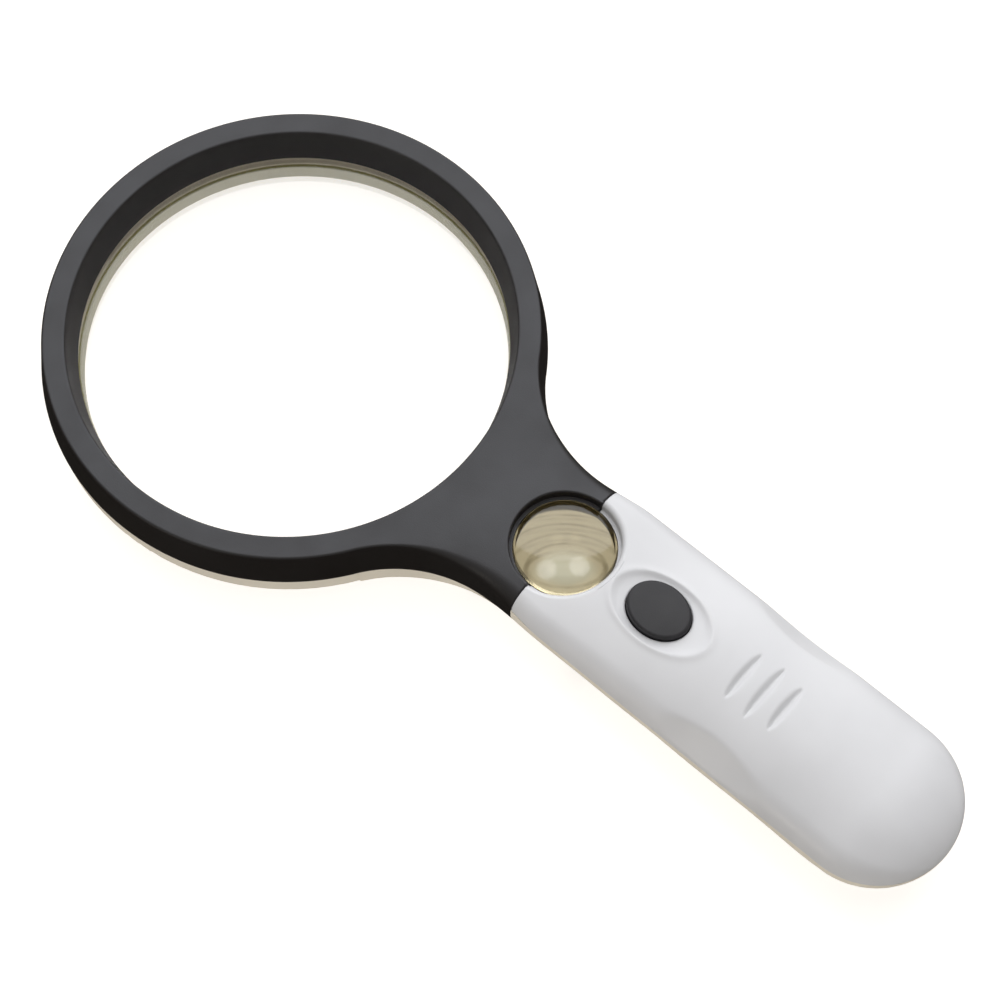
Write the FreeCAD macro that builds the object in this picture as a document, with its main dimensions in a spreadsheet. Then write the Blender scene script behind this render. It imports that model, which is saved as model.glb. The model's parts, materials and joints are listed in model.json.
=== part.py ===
import FreeCAD, Part
import math
import os
import Sketcher

# Hand-held low vision magnifier: a ring with a large lens, a neck with a small strong lens,
# and a handle with two cells and a push button for the reading light.
#
# Frame: +X runs from the ring to the tail of the handle, +Z is up through the reading side.
# The origin is the middle of the outline on the plane that the magnifier rests on.
# All sizes are in millimetres.

DIMENSIONS = {
    # stations along the handle
    "lens_x": -48.4,
    "rise_start_x": -9.8,
    "neck_end_x": 8.9,
    "grip_wide_x": 20.0,
    "lamp_x": -3.4,
    "small_lens_x": 13.2,
    "button_x": 33.0,
    "crown_x": 47.6,
    "bay_front_x": 36.6,
    "bay_rear_x": 86.2,
    "tail_x": 78.1,
    # outer form
    "face_z": 13.0,
    "crown_z": 17.4,
    "ring_parting_z": 5.4,
    "handle_parting_z": 9.7,
    "neck_half_width": 13.6,
    "handle_half_width": 14.4,
    "neck_fillet": 25.0,
    "grip_start_x": -8.4,
    "grip_full_x": 13.6,
    "neck_draft": 8.2,
    "upright_x": 22.0,
    "neck_shoulder_z": 12.5,
    "grip_shoulder_z": 9.9,
    "shoulder_share": 0.76,
    "neck_base_edge": 2.0,
    "grip_base_edge": 9.4,
    "rear_neck_step": 0.3,
    "tail_drop": 0.75,
    "wall": 1.8,
    "fit_gap": 0.1,
    "ring_base_radius": 44.1,
    "ring_face_radius": 43.0,
    "ring_edge": 0.5,
    "mouth_radius": 38.9,
    "lip_radius": 37.5,
    "lip_overhang": 1.4,
    "lip_z": 6.7,
    "ring_groove_inner": 40.4,
    "ring_groove_outer": 42.2,
    "rear_bore_radius": 37.9,
    "rear_ring_radius": 43.8,
    "rear_ring_edge": 2.0,
    # finger rests and battery door
    "scallop_radius": 50.0,
    "scallop_lean": 37.8,
    "scallop_x": 54.1,
    "scallop_y": 12.2,
    "scallop_z": 13.1,
    "groove_x": 54.8,
    "groove_pitch": 4.25,
    "groove_half_width": 1.0,
    "groove_depth": 1.1,
    "groove_reach": 7.4,
    "groove_end_reach": 6.5,
    "groove_lift": 0.5,
    "door_front_x": 38.8,
    "door_half_width": 11.2,
    "door_top_z": 3.9,
    "rib_radius": 0.8,
    "rib_pitch": 2.2,
    "rib_sink": 0.4,
    "rib_half_length": 5.0,
    # lenses
    "lens_rim_radius": 39.0,
    "lens_rim_low_z": 4.5,
    "lens_rim_top_z": 6.3,
    "rim_relief": 0.2,
    "lens_front_sag": 4.6,
    "lens_rear_sag": 3.2,
    "seal_thickness": 0.7,
    "seal_low_z": 0.8,
    "small_lens_radius": 8.7,
    "small_rim_low_z": 10.2,
    "small_rim_top_z": 12.0,
    "small_front_sag": 1.5,
    "small_rear_sag": 1.6,
    "recess_radius": 9.35,
    "recess_floor_z": 11.5,
    "seat_thickness": 1.9,
    "barrel_outer": 9.5,
    "barrel_inner": 7.8,
    "barrel_top_z": 9.86,
    # button and switch
    "button_half_length": 5.9,
    "button_half_width": 4.7,
    "button_top_z": 17.5,
    "button_flange_z": 12.9,
    "button_flange_length": 5.2,
    "button_flange_width": 5.7,
    "button_flange_thickness": 1.0,
    "button_hole_play": 0.05,
    "button_dome_height": 6.0,
    "button_dome_spread": 2.2,
    "button_travel": 1.5,
    "dish_shift": 0.4,
    "dish_reach": 13.6,
    "dish_side_reach": 10.0,
    "dish_drop": 3.0,
    "dish_lift": 1.5,
    "board_z": 5.2,
    "board_thickness": 1.2,
    "switch_size": 7.0,
    "switch_top_z": 10.3,
    "switch_floor": 1.0,
    "plunger_size": 2.6,
    "return_coil_radius": 2.6,
    "return_wire": 0.4,
    "return_turns": 2.5,
    "coil_play": 0.02,
    "board_front_reach": 8.6,
    "board_rear_reach": 3.5,
    "board_half_width": 7.7,
    "resistor_x": 27.4,
    "resistor_half_length": 1.0,
    "resistor_half_width": 0.7,
    "resistor_height": 0.6,
    # cells
    "cell_radius": 5.2,
    "cell_y": 5.4,
    "cell_z": 8.4,
    "cell_length": 44.5,
    "cell_nub": 1.0,
    "cell_edge": 0.8,
    "cell_nub_radius": 1.9,
    "contact_thickness": 0.4,
    "contact_half_height": 2.4,
    "contact_half_width": 3.5,
    "bridge_half_width": 8.4,
    "cell_spring_room": 2.0,
    "cell_spring_radius": 2.2,
    "cell_spring_wire": 0.25,
    "cell_spring_turns": 2.5,
    "cell_spring_slant": -20.0,
    "tab_half_width": 1.0,
    "tab_reach": 0.6,
    "tab_lap": 0.2,
    "cradle_half_width": 11.6,
    "cradle_low_z": 5.6,
    "cradle_wall": 1.0,
    "cradle_button_z": 11.2,
    "cradle_button_room": 4.0,
    # reading lamps
    "lamp_radius": 1.5,
    "lamp_pitch": 9.0,
    "lamp_board_z": 8.4,
    "lamp_board_half_width": 11.8,
    "lamp_board_front": 2.6,
    "lamp_board_rear": 3.4,
    "lamp_height": 4.6,
    "lamp_flange": 0.25,
    "lamp_flange_height": 1.0,
    "window_low_x": -5.7,
    "window_high_x": -1.1,
    "window_half_width": 11.0,
    "window_flange": 0.6,
    "window_low_z": 0.2,
    "window_rim_height": 0.6,
    # fasteners and wires
    "screw_radius": 1.0,
    "screw_head_radius": 1.9,
    "screw_head_height": 1.2,
    "screw_length": 8.0,
    "screw_point": 0.6,
    "screw_slot_half_width": 0.25,
    "front_screw_x": 3.6,
    "front_screw_y": 10.3,
    "front_screw_z": 2.0,
    "rear_screw_x": 26.6,
    "rear_screw_y": 10.4,
    "rear_screw_z": 3.6,
    "pilot_play": 0.02,
    "shaft_play": 0.15,
    "head_play": 0.2,
    "boss_radius": 2.5,
    "wire_radius": 0.5,
    "wire_z": 7.2,
    "wire_bend": 3.0,
}

doc = FreeCAD.newDocument("Magnifier")
sheet = doc.addObject("Spreadsheet::Sheet", "Dims")
for row, (alias, number) in enumerate(DIMENSIONS.items(), start=1):
    sheet.set("A%d" % row, alias.replace("_", " "))
    sheet.set("B%d" % row, str(number))
    sheet.setAlias("B%d" % row, alias)
doc.recompute()


class Size:
    """A length, with the spreadsheet expression that gives it."""

    def __init__(self, value, text):
        self.value = float(value)
        self.text = text

    def __add__(self, other):
        other = as_size(other)
        return Size(self.value + other.value, "(%s + %s)" % (self.text, other.text))

    def __sub__(self, other):
        other = as_size(other)
        return Size(self.value - other.value, "(%s - %s)" % (self.text, other.text))

    def __mul__(self, factor):
        return Size(self.value * factor, "(%s * %g)" % (self.text, factor))

    def __neg__(self):
        return Size(-self.value, "(0 - %s)" % self.text)

    __radd__ = __add__
    __rmul__ = __mul__


def as_size(length):
    """Turn a plain number into a Size and leave a Size as it is."""
    if isinstance(length, Size):
        return length
    return Size(length, "(%g)" % length if length < 0 else "%g" % length)


def dim(alias):
    """Give the spreadsheet's length with this alias."""
    return Size(getattr(sheet, alias), "Dims.%s" % alias)


def bind(feature, prop, length):
    """Drive one property of a feature from the spreadsheet."""
    feature.setExpression(prop, as_size(length).text)


def place(feature, x, y, z, turn=None):
    """Put a feature at x, y, z, driven from the spreadsheet, after an optional turn."""
    feature.Placement = FreeCAD.Placement(FreeCAD.Vector(0, 0, 0), turn or FreeCAD.Rotation())
    bind(feature, "Placement.Base.x", x)
    bind(feature, "Placement.Base.y", y)
    bind(feature, "Placement.Base.z", z)
    return feature


ALONG_X = FreeCAD.Rotation(FreeCAD.Vector(0, 1, 0), 90)
ALONG_MINUS_X = FreeCAD.Rotation(FreeCAD.Vector(0, 1, 0), -90)
ALONG_Y = FreeCAD.Rotation(FreeCAD.Vector(1, 0, 0), -90)


# ---------------------------------------------------------------- simple solids

def cylinder(label, radius, height, x, y, z, turn=None):
    """Make an upright cylinder on x, y, z, or one along the turned axis."""
    solid = doc.addObject("Part::Cylinder", label)
    bind(solid, "Radius", radius)
    bind(solid, "Height", height)
    return place(solid, x, y, z, turn)


def block(label, x_span, y_span, z_span):
    """Make a box from the low and high ends of its three spans."""
    solid = doc.addObject("Part::Box", label)
    spans = [[as_size(end) for end in span] for span in (x_span, y_span, z_span)]
    for prop, (low, high) in zip(("Length", "Width", "Height"), spans):
        bind(solid, prop, high - low)
    return place(solid, spans[0][0], spans[1][0], spans[2][0])


def ellipsoid(label, radii, x, y, z):
    """Make an ellipsoid with its three radii along X, Y and Z."""
    solid = doc.addObject("Part::Ellipsoid", label)
    bind(solid, "Radius2", radii[0])
    bind(solid, "Radius3", radii[1])
    bind(solid, "Radius1", radii[2])
    solid.Angle1 = -90
    solid.Angle2 = 90
    solid.Angle3 = 360
    return place(solid, x, y, z)


def oval_prism(label, half_length, half_width, height, x, z):
    """Make an upright prism with an oval outline, long along X."""
    outline = doc.addObject("Part::Ellipse", label + "_outline")
    bind(outline, "MajorRadius", half_length)
    bind(outline, "MinorRadius", half_width)
    prism = doc.addObject("Part::Extrusion", label)
    prism.Base = outline
    prism.DirMode = "Custom"
    prism.Dir = FreeCAD.Vector(0, 0, 1)
    bind(prism, "LengthFwd", height)
    prism.Solid = True
    place(outline, x, 0, z)
    return prism


def join(label, *parts):
    """Join solids into one."""
    union = doc.addObject("Part::MultiFuse", label)
    union.Shapes = list(parts)
    union.Refine = True
    return union


def cut(label, base, *tools):
    """Cut the tools out of a solid."""
    difference = doc.addObject("Part::Cut", label)
    difference.Base = base
    difference.Tool = tools[0] if len(tools) == 1 else join(label + "_tools", *tools)
    return difference


def overlap(label, first, second):
    """Keep only what two solids share."""
    shared = doc.addObject("Part::Common", label)
    shared.Base = first
    shared.Tool = second
    return shared


# ---------------------------------------------------------------- sketched solids

def origin_item(body, role):
    """Find an origin plane or axis of a body."""
    for item in body.Origin.OriginFeatures:
        if item.Role == role:
            return item
    raise ValueError(role)


def draw(body, plane, outline):
    """Draw a closed outline on an origin plane, with every corner driven from the spreadsheet.

    Each corner is (across, up) or (across, up, radius): a radius makes the side that follows
    an arc, which bulges to the right of the way along it, or to the left if it is negative.
    """
    sketch = body.newObject("Sketcher::SketchObject", body.Name + "_outline")
    sketch.AttachmentSupport = [(origin_item(body, plane), "")]
    sketch.MapMode = "FlatFace"
    corners = [tuple(as_size(part) for part in corner) for corner in outline]
    points = [FreeCAD.Vector(corner[0].value, corner[1].value, 0) for corner in corners]
    joints = []
    for index, corner in enumerate(corners):
        start = points[index]
        end = points[(index + 1) % len(points)]
        if len(corner) == 2:
            side = sketch.addGeometry(Part.LineSegment(start, end))
            joints.append((side, 1, 2))
            continue
        side, first, last = add_arc(sketch, start, end, corner[2])
        joints.append((side, first, last))
    for index, (side, first, last) in enumerate(joints):
        following = joints[(index + 1) % len(joints)]
        sketch.addConstraint(Sketcher.Constraint("Coincident", side, last, following[0], following[1]))
    for index, corner in enumerate(corners):
        side, first = joints[index][:2]
        pin_corner(sketch, side, first, "DistanceX", -2, corner[0])
        pin_corner(sketch, side, first, "DistanceY", -1, corner[1])
    return sketch


def add_arc(sketch, start, end, radius):
    """Add an arc of a driven radius and tell which of its ends is the first."""
    chord = end - start
    middle = (start + end) * 0.5
    reach = math.sqrt(radius.value ** 2 - (chord.Length / 2) ** 2)
    left = FreeCAD.Vector(-chord.y, chord.x, 0).normalize()
    turns_left = radius.value > 0
    centre = middle + left * (reach if turns_left else -reach)
    angles = [math.atan2(point.y - centre.y, point.x - centre.x) for point in (start, end)]
    circle = Part.Circle(centre, FreeCAD.Vector(0, 0, 1), abs(radius.value))
    first, last = (1, 2) if turns_left else (2, 1)
    low, high = angles if turns_left else reversed(angles)
    side = sketch.addGeometry(Part.ArcOfCircle(circle, low, high))
    size = radius if turns_left else -radius
    index = sketch.addConstraint(Sketcher.Constraint("Radius", side, size.value))
    sketch.setExpression("Constraints[%d]" % index, size.text)
    return side, first, last


def pin_corner(sketch, side, end, kind, axis, length):
    """Hold one coordinate of a corner at a driven distance from the sketch's origin."""
    if abs(length.value) < 1e-9:
        sketch.addConstraint(Sketcher.Constraint("PointOnObject", side, end, axis))
        return
    index = sketch.addConstraint(Sketcher.Constraint(kind, -1, 1, side, end, length.value))
    sketch.setExpression("Constraints[%d]" % index, length.text)


def new_body(label, x, y, z, turn=None):
    """Start a PartDesign body at x, y, z."""
    body = doc.addObject("PartDesign::Body", label)
    return place(body, x, y, z, turn)


def turned(label, outline, x, y, z, turn=None):
    """Turn an outline of (radius, height) corners about the body's own Z axis."""
    body = new_body(label, x, y, z, turn)
    sketch = draw(body, "XZ_Plane", outline)
    revolution = body.newObject("PartDesign::Revolution", label + "_turning")
    revolution.Profile = sketch
    revolution.ReferenceAxis = (sketch, ["V_Axis"])
    revolution.Angle = 360
    body.Tip = revolution
    sketch.Visibility = False
    return body


def plate(label, outline, thickness, x, y, z, turn=None):
    """Pad a flat outline of (x, y) corners upwards."""
    body = new_body(label, x, y, z, turn)
    sketch = draw(body, "XY_Plane", outline)
    pad = body.newObject("PartDesign::Pad", label + "_pad")
    pad.Profile = sketch
    bind(pad, "Length", thickness)
    body.Tip = pad
    return body


def rectangle(x_low, x_high, y_low, y_high):
    """Give the four corners of a rectangle."""
    return [(x_low, y_low), (x_high, y_low), (x_high, y_high), (x_low, y_high)]


def coil(label, radius, wire, height, turns, x, y, z, turn=None, cone_angle=0.0):
    """Sweep a round wire along a helix: a compression spring."""
    path = Part.makeHelix(height / turns, height, radius, cone_angle)
    section = Part.Wire(Part.makeCircle(wire, FreeCAD.Vector(radius, 0, 0), FreeCAD.Vector(0, 1, 0)))
    spring = doc.addObject("Part::Feature", label)
    spring.Shape = Part.Wire(path).makePipeShell([section], True, True)
    return place(spring, x, y, z, turn)


def cable(label, radius, corners, bend):
    """Sweep a round wire along straight runs that tangent arcs join."""
    edges = []
    start = corners[0]
    for before, corner, after in zip(corners, corners[1:], corners[2:]):
        arriving = (corner - before).normalize()
        leaving = (after - corner).normalize()
        half_turn = arriving.getAngle(leaving) / 2
        setback = bend * math.tan(half_turn)
        arc_start = corner - arriving * setback
        arc_end = corner + leaving * setback
        inward = (leaving - arriving).normalize()
        centre = corner + inward * (bend / math.cos(half_turn))
        arc_middle = centre - inward * bend
        edges.append(Part.LineSegment(start, arc_start).toShape())
        edges.append(Part.Arc(arc_start, arc_middle, arc_end).toShape())
        start = arc_end
    edges.append(Part.LineSegment(start, corners[-1]).toShape())
    path = Part.Wire(edges)
    heading = (corners[1] - corners[0]).normalize()
    section = Part.Wire(Part.makeCircle(radius, corners[0], heading))
    wire = doc.addObject("Part::Feature", label)
    wire.Shape = path.makePipeShell([section], True, True)
    straight_volume = math.pi * radius ** 2 * path.Length
    if abs(wire.Shape.Volume / straight_volume - 1) > 0.01:
        raise ValueError("%s does not follow its route" % label)
    return wire


# ---------------------------------------------------------------- outer form

def ease(value, low, high):
    """Go smoothly from 0 to 1 as the value goes from low to high."""
    share = min(max((value - low) / (high - low), 0.0), 1.0)
    return share * share * (3 - 2 * share)


def blend(start, end, share):
    """Mix two numbers."""
    return start + (end - start) * share


SMALLEST_ROUND = 0.3
LEAST_CROWN = 0.1


class Section:
    """The cross-section of the neck and handle at one station, before its wall is taken off."""

    def __init__(self, x, is_front):
        grip = ease(x, sheet.grip_start_x, sheet.grip_full_x)
        neck_end = sheet.neck_end_x
        widening = ease(x, neck_end, sheet.grip_wide_x)
        half_width = blend(sheet.neck_half_width, sheet.handle_half_width, widening)
        if x < neck_end:
            fillet = sheet.neck_fillet
            half_width += fillet - math.sqrt(fillet ** 2 - (neck_end - x) ** 2)
        if not is_front:
            half_width -= sheet.rear_neck_step * (1 - grip)
        self.x = x
        self.half_width = half_width
        upright = ease(x, sheet.grip_start_x, sheet.upright_x)
        self.draft = math.radians(sheet.neck_draft) * (1 - upright) if is_front else 0.0
        self.shoulder_z = blend(sheet.neck_shoulder_z, sheet.grip_shoulder_z, grip)
        rise = (sheet.crown_z - sheet.face_z) * ease(x, sheet.rise_start_x, sheet.crown_x)
        tail = max(x - sheet.crown_x, 0.0) / (sheet.tail_x - sheet.crown_x)
        self.top_z = sheet.face_z + rise - sheet.tail_drop * tail ** 2
        self.base_edge = blend(sheet.neck_base_edge, sheet.grip_base_edge, upright)
        self.shrink = 1.0

    def end_at(self, angle, inset):
        """Move to the rounded tail, at this angle round its half circle."""
        reach = sheet.handle_half_width - inset
        tail = Section(sheet.tail_x + sheet.handle_half_width * math.sin(angle), True)
        self.x = sheet.tail_x + reach * math.sin(angle)
        self.top_z = tail.top_z
        self.shrink = math.cos(angle)
        return self

    def wire(self, inset):
        """Draw the closed section, set in from the outer surface by the wall."""
        slant = self.draft
        top_z = self.top_z - inset
        rise = top_z - self.shoulder_z
        shoulder = max(sheet.shoulder_share * (self.top_z - self.shoulder_z) - inset, SMALLEST_ROUND)
        shoulder_z = self.shoulder_z
        if rise < shoulder + LEAST_CROWN:
            shoulder_z = top_z - shoulder - LEAST_CROWN
            rise = shoulder + LEAST_CROWN
        edge = max(self.base_edge - inset, SMALLEST_ROUND)
        base_z = inset
        foot = self.half_width - inset + sheet.ring_parting_z * math.tan(slant)
        shoulder_y = foot - (shoulder + shoulder_z * math.sin(slant)) / math.cos(slant)
        crown = (shoulder_y ** 2 + rise ** 2 - shoulder ** 2) / (2 * (rise - shoulder))
        edge_z = base_z + edge
        edge_y = foot - (edge + edge_z * math.sin(slant)) / math.cos(slant)
        outward = (math.cos(slant), math.sin(slant))
        to_crown = math.atan2(shoulder_z - (top_z - crown), shoulder_y)
        mid_shoulder = (slant + to_crown) / 2
        mid_edge = (slant - math.pi / 2) / 2
        right = {
            "base": (edge_y, base_z),
            "edge": (edge_y + edge * math.cos(mid_edge), edge_z + edge * math.sin(mid_edge)),
            "side_low": (edge_y + edge * outward[0], edge_z + edge * outward[1]),
            "side_top": (shoulder_y + shoulder * outward[0], shoulder_z + shoulder * outward[1]),
            "shoulder": (shoulder_y + shoulder * math.cos(mid_shoulder),
                         shoulder_z + shoulder * math.sin(mid_shoulder)),
            "crown": (shoulder_y + shoulder * math.cos(to_crown),
                      shoulder_z + shoulder * math.sin(to_crown)),
        }

        def at(name, side=1):
            across, up = right[name]
            return self.scaled(side * across, up)

        top = self.scaled(0.0, top_z)
        edges = [
            Part.LineSegment(at("base", -1), at("base")),
            Part.Arc(at("base"), at("edge"), at("side_low")),
            Part.LineSegment(at("side_low"), at("side_top")),
            Part.Arc(at("side_top"), at("shoulder"), at("crown")),
            Part.Arc(at("crown"), top, at("crown", -1)),
            Part.Arc(at("crown", -1), at("shoulder", -1), at("side_top", -1)),
            Part.LineSegment(at("side_top", -1), at("side_low", -1)),
            Part.Arc(at("side_low", -1), at("edge", -1), at("base", -1)),
        ]
        return Part.Wire([edge.toShape() for edge in edges])

    def scaled(self, across, up):
        """Place a point of the section, drawn in towards its widest line at the tail."""
        waist = self.shoulder_z
        return FreeCAD.Vector(self.x, across * self.shrink, waist + (up - waist) * self.shrink)


NECK_STATIONS = (-11.6, -10.2, -8.4, -6.4, -4.0, -1.0, 2.7, 6.4, 9.6, 13.2, 16.6, 20.0,
                 28.0, 38.0, 47.6, 58.0, 68.0)
TAIL_ANGLES = (0, 14, 28, 42, 55, 67, 77, 84, 87.5)


def form(label, is_front, inset):
    """Loft the neck with the handle, and the rounded tail, and join the two."""
    grip_wires = [Section(x, is_front).wire(inset) for x in (*NECK_STATIONS, sheet.tail_x)]
    tail_wires = []
    for angle in TAIL_ANGLES:
        section = Section(sheet.tail_x, is_front).end_at(math.radians(angle), inset)
        tail_wires.append(section.wire(inset))
    grip = Part.makeLoft(grip_wires, True, False)
    solid = doc.addObject("Part::Feature", label)
    solid.Shape = grip.fuse(Part.makeLoft(tail_wires, True, False))
    return solid


front_form = form("front_form", True, 0.0)
rear_form = form("rear_form", False, 0.0)
cavity = form("cavity_form", False, sheet.wall)
fill = form("fill_form", False, sheet.wall + sheet.fit_gap)

nodes = []


def node(feature, name):
    """Name a finished piece."""
    feature.Label = name
    nodes.append(feature)
    return feature


FAR = 120.0     # beyond the outline in any direction
BELOW = -5.0    # under the lowest face
ABOVE = 30.0    # over the highest face
lens_x = dim("lens_x")
border_x = dim("small_lens_x")
parting_z = dim("ring_parting_z")
handle_parting_z = dim("handle_parting_z")
gap = dim("fit_gap")


def screw_spots():
    """Give the four housing screws' places and the height of their heads, in mirrored pairs."""
    for end in ("front", "rear"):
        x = dim(end + "_screw_x")
        y = dim(end + "_screw_y")
        z = dim(end + "_screw_z")
        yield x, y, z
        yield x, -y, z


# ---------------------------------------------------------------- front ring frame

def front_ring():
    """Turn the black ring, hollow from below, with the lip that holds the lens."""
    top = dim("face_z")
    edge = dim("ring_edge")
    outline = [
        (dim("mouth_radius") - dim("lip_overhang"), dim("lip_z")),
        (dim("lens_rim_radius") + gap, dim("lip_z")),
        (dim("lens_rim_radius") + gap, parting_z),
        (dim("ring_groove_inner"), parting_z),
        (dim("ring_groove_inner"), top - dim("wall")),
        (dim("ring_groove_outer"), top - dim("wall")),
        (dim("ring_groove_outer"), parting_z),
        (dim("ring_base_radius"), parting_z),
        (dim("ring_face_radius"), top - edge, edge),
        (dim("ring_face_radius") - edge, top),
        (dim("mouth_radius"), top),
    ]
    return turned("front_ring", outline, lens_x, 0, 0)


def lens_opening(label, radius_low, radius_high, low, high):
    """Make the tapering plug that keeps the lens opening free."""
    plug = doc.addObject("Part::Cone", label)
    bind(plug, "Radius1", radius_low)
    bind(plug, "Radius2", radius_high)
    bind(plug, "Height", high - low)
    return place(plug, lens_x, 0, low)


def neck_cavity(label):
    """Make the hollow of the neck, which stops at the ring's inner wall."""
    ring_core = cylinder(label + "_core", dim("ring_groove_inner"), FAR, lens_x, 0, BELOW)
    return cut(label, cavity, ring_core)


hollow = neck_cavity("hollow")
recess = cylinder("lens_recess", dim("recess_radius"), ABOVE, border_x, 0, dim("recess_floor_z"))
lens_hole = cylinder("small_lens_hole", dim("small_lens_radius") + gap, ABOVE, border_x, 0, BELOW)


def pillars(label, low, high, radius, over_head=False):
    """Make an upright pillar at each housing screw, whose top may be measured from the screw's head."""
    stems = []
    for index, (x, y, z) in enumerate(screw_spots(), start=1):
        top = z + high if over_head else as_size(high)
        stems.append(cylinder("%s_%d" % (label, index), radius, top - low, x, y, low))
    return join(label, *stems)


def recess_seat(label, outer):
    """Make the part of the small lens's seat that lies within one half of the outer form."""
    column = cylinder(label + "_column", dim("recess_radius") + dim("wall"), ABOVE, border_x, 0,
                      dim("recess_floor_z") - dim("seat_thickness"))
    return overlap(label, column, outer)


def front_ring_frame():
    """Join the ring and the front half of the neck."""
    half = block("neck_half", (lens_x, border_x - gap), (-FAR, FAR), (parting_z, ABOVE))
    neck = overlap("neck_outer", front_form, half)
    body = join("ring_and_neck", front_ring(), neck)
    mouth = lens_opening("front_mouth", dim("lip_radius"), dim("mouth_radius"), dim("lip_z"), dim("face_z"))
    above = cylinder("mouth_above", dim("mouth_radius"), ABOVE, lens_x, 0, dim("face_z"))
    pocket = cylinder("rim_pocket", dim("lens_rim_radius") + gap, dim("lip_z") - BELOW, lens_x, 0, BELOW)
    hollowed = cut("neck_hollowed", body, hollow, mouth, above, pocket)
    posts = overlap("front_posts", pillars("neck_posts", parting_z, ABOVE, dim("boss_radius")), neck)
    solid = join("frame_with_posts", hollowed, recess_seat("neck_recess_seat", neck), posts)
    pilots = pillars("pilot_holes", 0, dim("screw_length") + gap,
                     dim("screw_radius") + dim("pilot_play"), True)
    return node(cut("front_frame_cut", solid, recess, lens_hole, pilots), "front_ring_frame")


# ---------------------------------------------------------------- handle front shell

def finger_scallop(side):
    """Make the large leaning cylinder that hollows one shoulder for a finger."""
    radius = sheet.scallop_radius
    lean = math.radians(sheet.scallop_lean)
    outward = FreeCAD.Vector(0, side * math.cos(lean), math.sin(lean))
    deepest = FreeCAD.Vector(sheet.scallop_x, side * sheet.scallop_y, sheet.scallop_z)
    turn = FreeCAD.Rotation(FreeCAD.Vector(1, 0, 0), side * sheet.scallop_lean)
    axis = turn.multVec(FreeCAD.Vector(0, 0, 1))
    foot = deepest + outward * radius - axis * (radius / 2)
    name = "scallop_left" if side < 0 else "scallop_right"
    return cylinder(name, dim("scallop_radius"), dim("scallop_radius"), foot.x, foot.y, foot.z, turn)


def thumb_grooves():
    """Make the three tapered grooves across the crown, the middle one the longest."""
    grooves = []
    for step in (-1, 0, 1):
        reach = dim("groove_end_reach") if step else dim("groove_reach")
        radii = (dim("groove_half_width"), reach, dim("groove_depth"))
        x = dim("groove_x") + dim("groove_pitch") * step
        grooves.append(ellipsoid("thumb_groove_%d" % (step + 2), radii, x, 0,
                                 dim("crown_z") + dim("groove_lift")))
    return grooves


def button_dish():
    """Make the shallow hollow that the button stands in."""
    radii = (dim("dish_reach"), dim("dish_side_reach"), dim("dish_drop"))
    x = dim("button_x") + dim("dish_shift")
    return ellipsoid("button_dish", radii, x, 0, dim("crown_z") + dim("dish_lift"))


def handle_front_shell():
    """Shell the front half of the handle, with the button's dish and hole."""
    half = block("handle_half", (border_x + gap, FAR), (-FAR, FAR), (handle_parting_z, ABOVE))
    outer = overlap("handle_outer", front_form, half)
    hollowed = cut("handle_hollowed", outer, cavity)
    posts = pillars("handle_posts", handle_parting_z, ABOVE, dim("boss_radius"))
    solid = join("shell_with_posts", hollowed, recess_seat("shell_recess_seat", outer),
                 overlap("shell_posts", posts, outer))
    play = gap + dim("button_hole_play")
    hole = oval_prism("button_hole", dim("button_half_length") + play, dim("button_half_width") + play,
                      ABOVE, dim("button_x"), handle_parting_z)
    pilots = pillars("shell_pilots", 0, dim("screw_length") + gap,
                     dim("screw_radius") + dim("pilot_play"), True)
    tools = [recess, lens_hole, button_dish(), hole, pilots, finger_scallop(-1), finger_scallop(1)]
    return node(cut("handle_shell_cut", solid, *tools, *thumb_grooves()), "handle_front_shell")


# ---------------------------------------------------------------- rear housing and its door

def rear_ring():
    """Turn the white rear ring, open at the top, with the ledge under the lens rim."""
    edge = dim("rear_ring_edge")
    outline = [
        (dim("rear_bore_radius"), 0),
        (dim("rear_ring_radius") - edge, 0, edge),
        (dim("rear_ring_radius"), edge),
        (dim("rear_ring_radius"), parting_z),
        (dim("ring_groove_outer"), parting_z),
        (dim("ring_groove_outer") - gap, dim("wall")),
        (dim("ring_groove_inner") + gap, dim("wall")),
        (dim("ring_groove_inner"), parting_z),
        (dim("lens_rim_radius") + gap, parting_z),
        (dim("lens_rim_radius") + gap, dim("lens_rim_low_z") - dim("rim_relief")),
        (dim("rear_bore_radius"), dim("lens_rim_low_z") - dim("rim_relief")),
    ]
    return turned("rear_ring", outline, lens_x, 0, 0)


def rear_holes():
    """Make every hole of the rear housing, from the screws' to the battery door's."""
    shafts = pillars("screw_shafts", BELOW, ABOVE, dim("screw_radius") + dim("shaft_play"))
    heads = pillars("screw_heads", BELOW, dim("screw_head_height"),
                    dim("screw_head_radius") + dim("head_play"), True)
    sight = cylinder("sight_hole", dim("barrel_inner"), ABOVE, border_x, 0, BELOW)
    socket = cylinder("barrel_socket", dim("barrel_outer") + gap, ABOVE, border_x, 0, dim("wall"))
    door_side = dim("door_half_width") + gap
    door_way = block("door_way", (dim("door_front_x"), FAR), (-door_side, door_side),
                     (BELOW, dim("door_top_z") + gap))
    pane_side = dim("window_half_width")
    window = block("window_hole", (dim("window_low_x"), dim("window_high_x")),
                   (-pane_side, pane_side), (BELOW, dim("wall")))
    rim = dim("window_flange") + gap
    seat = block("window_seat", (dim("window_low_x") - rim, dim("window_high_x") + rim),
                 (-pane_side - rim, pane_side + rim), (dim("wall"), parting_z + dim("wall")))
    return shafts, heads, sight, socket, door_way, window, seat


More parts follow.
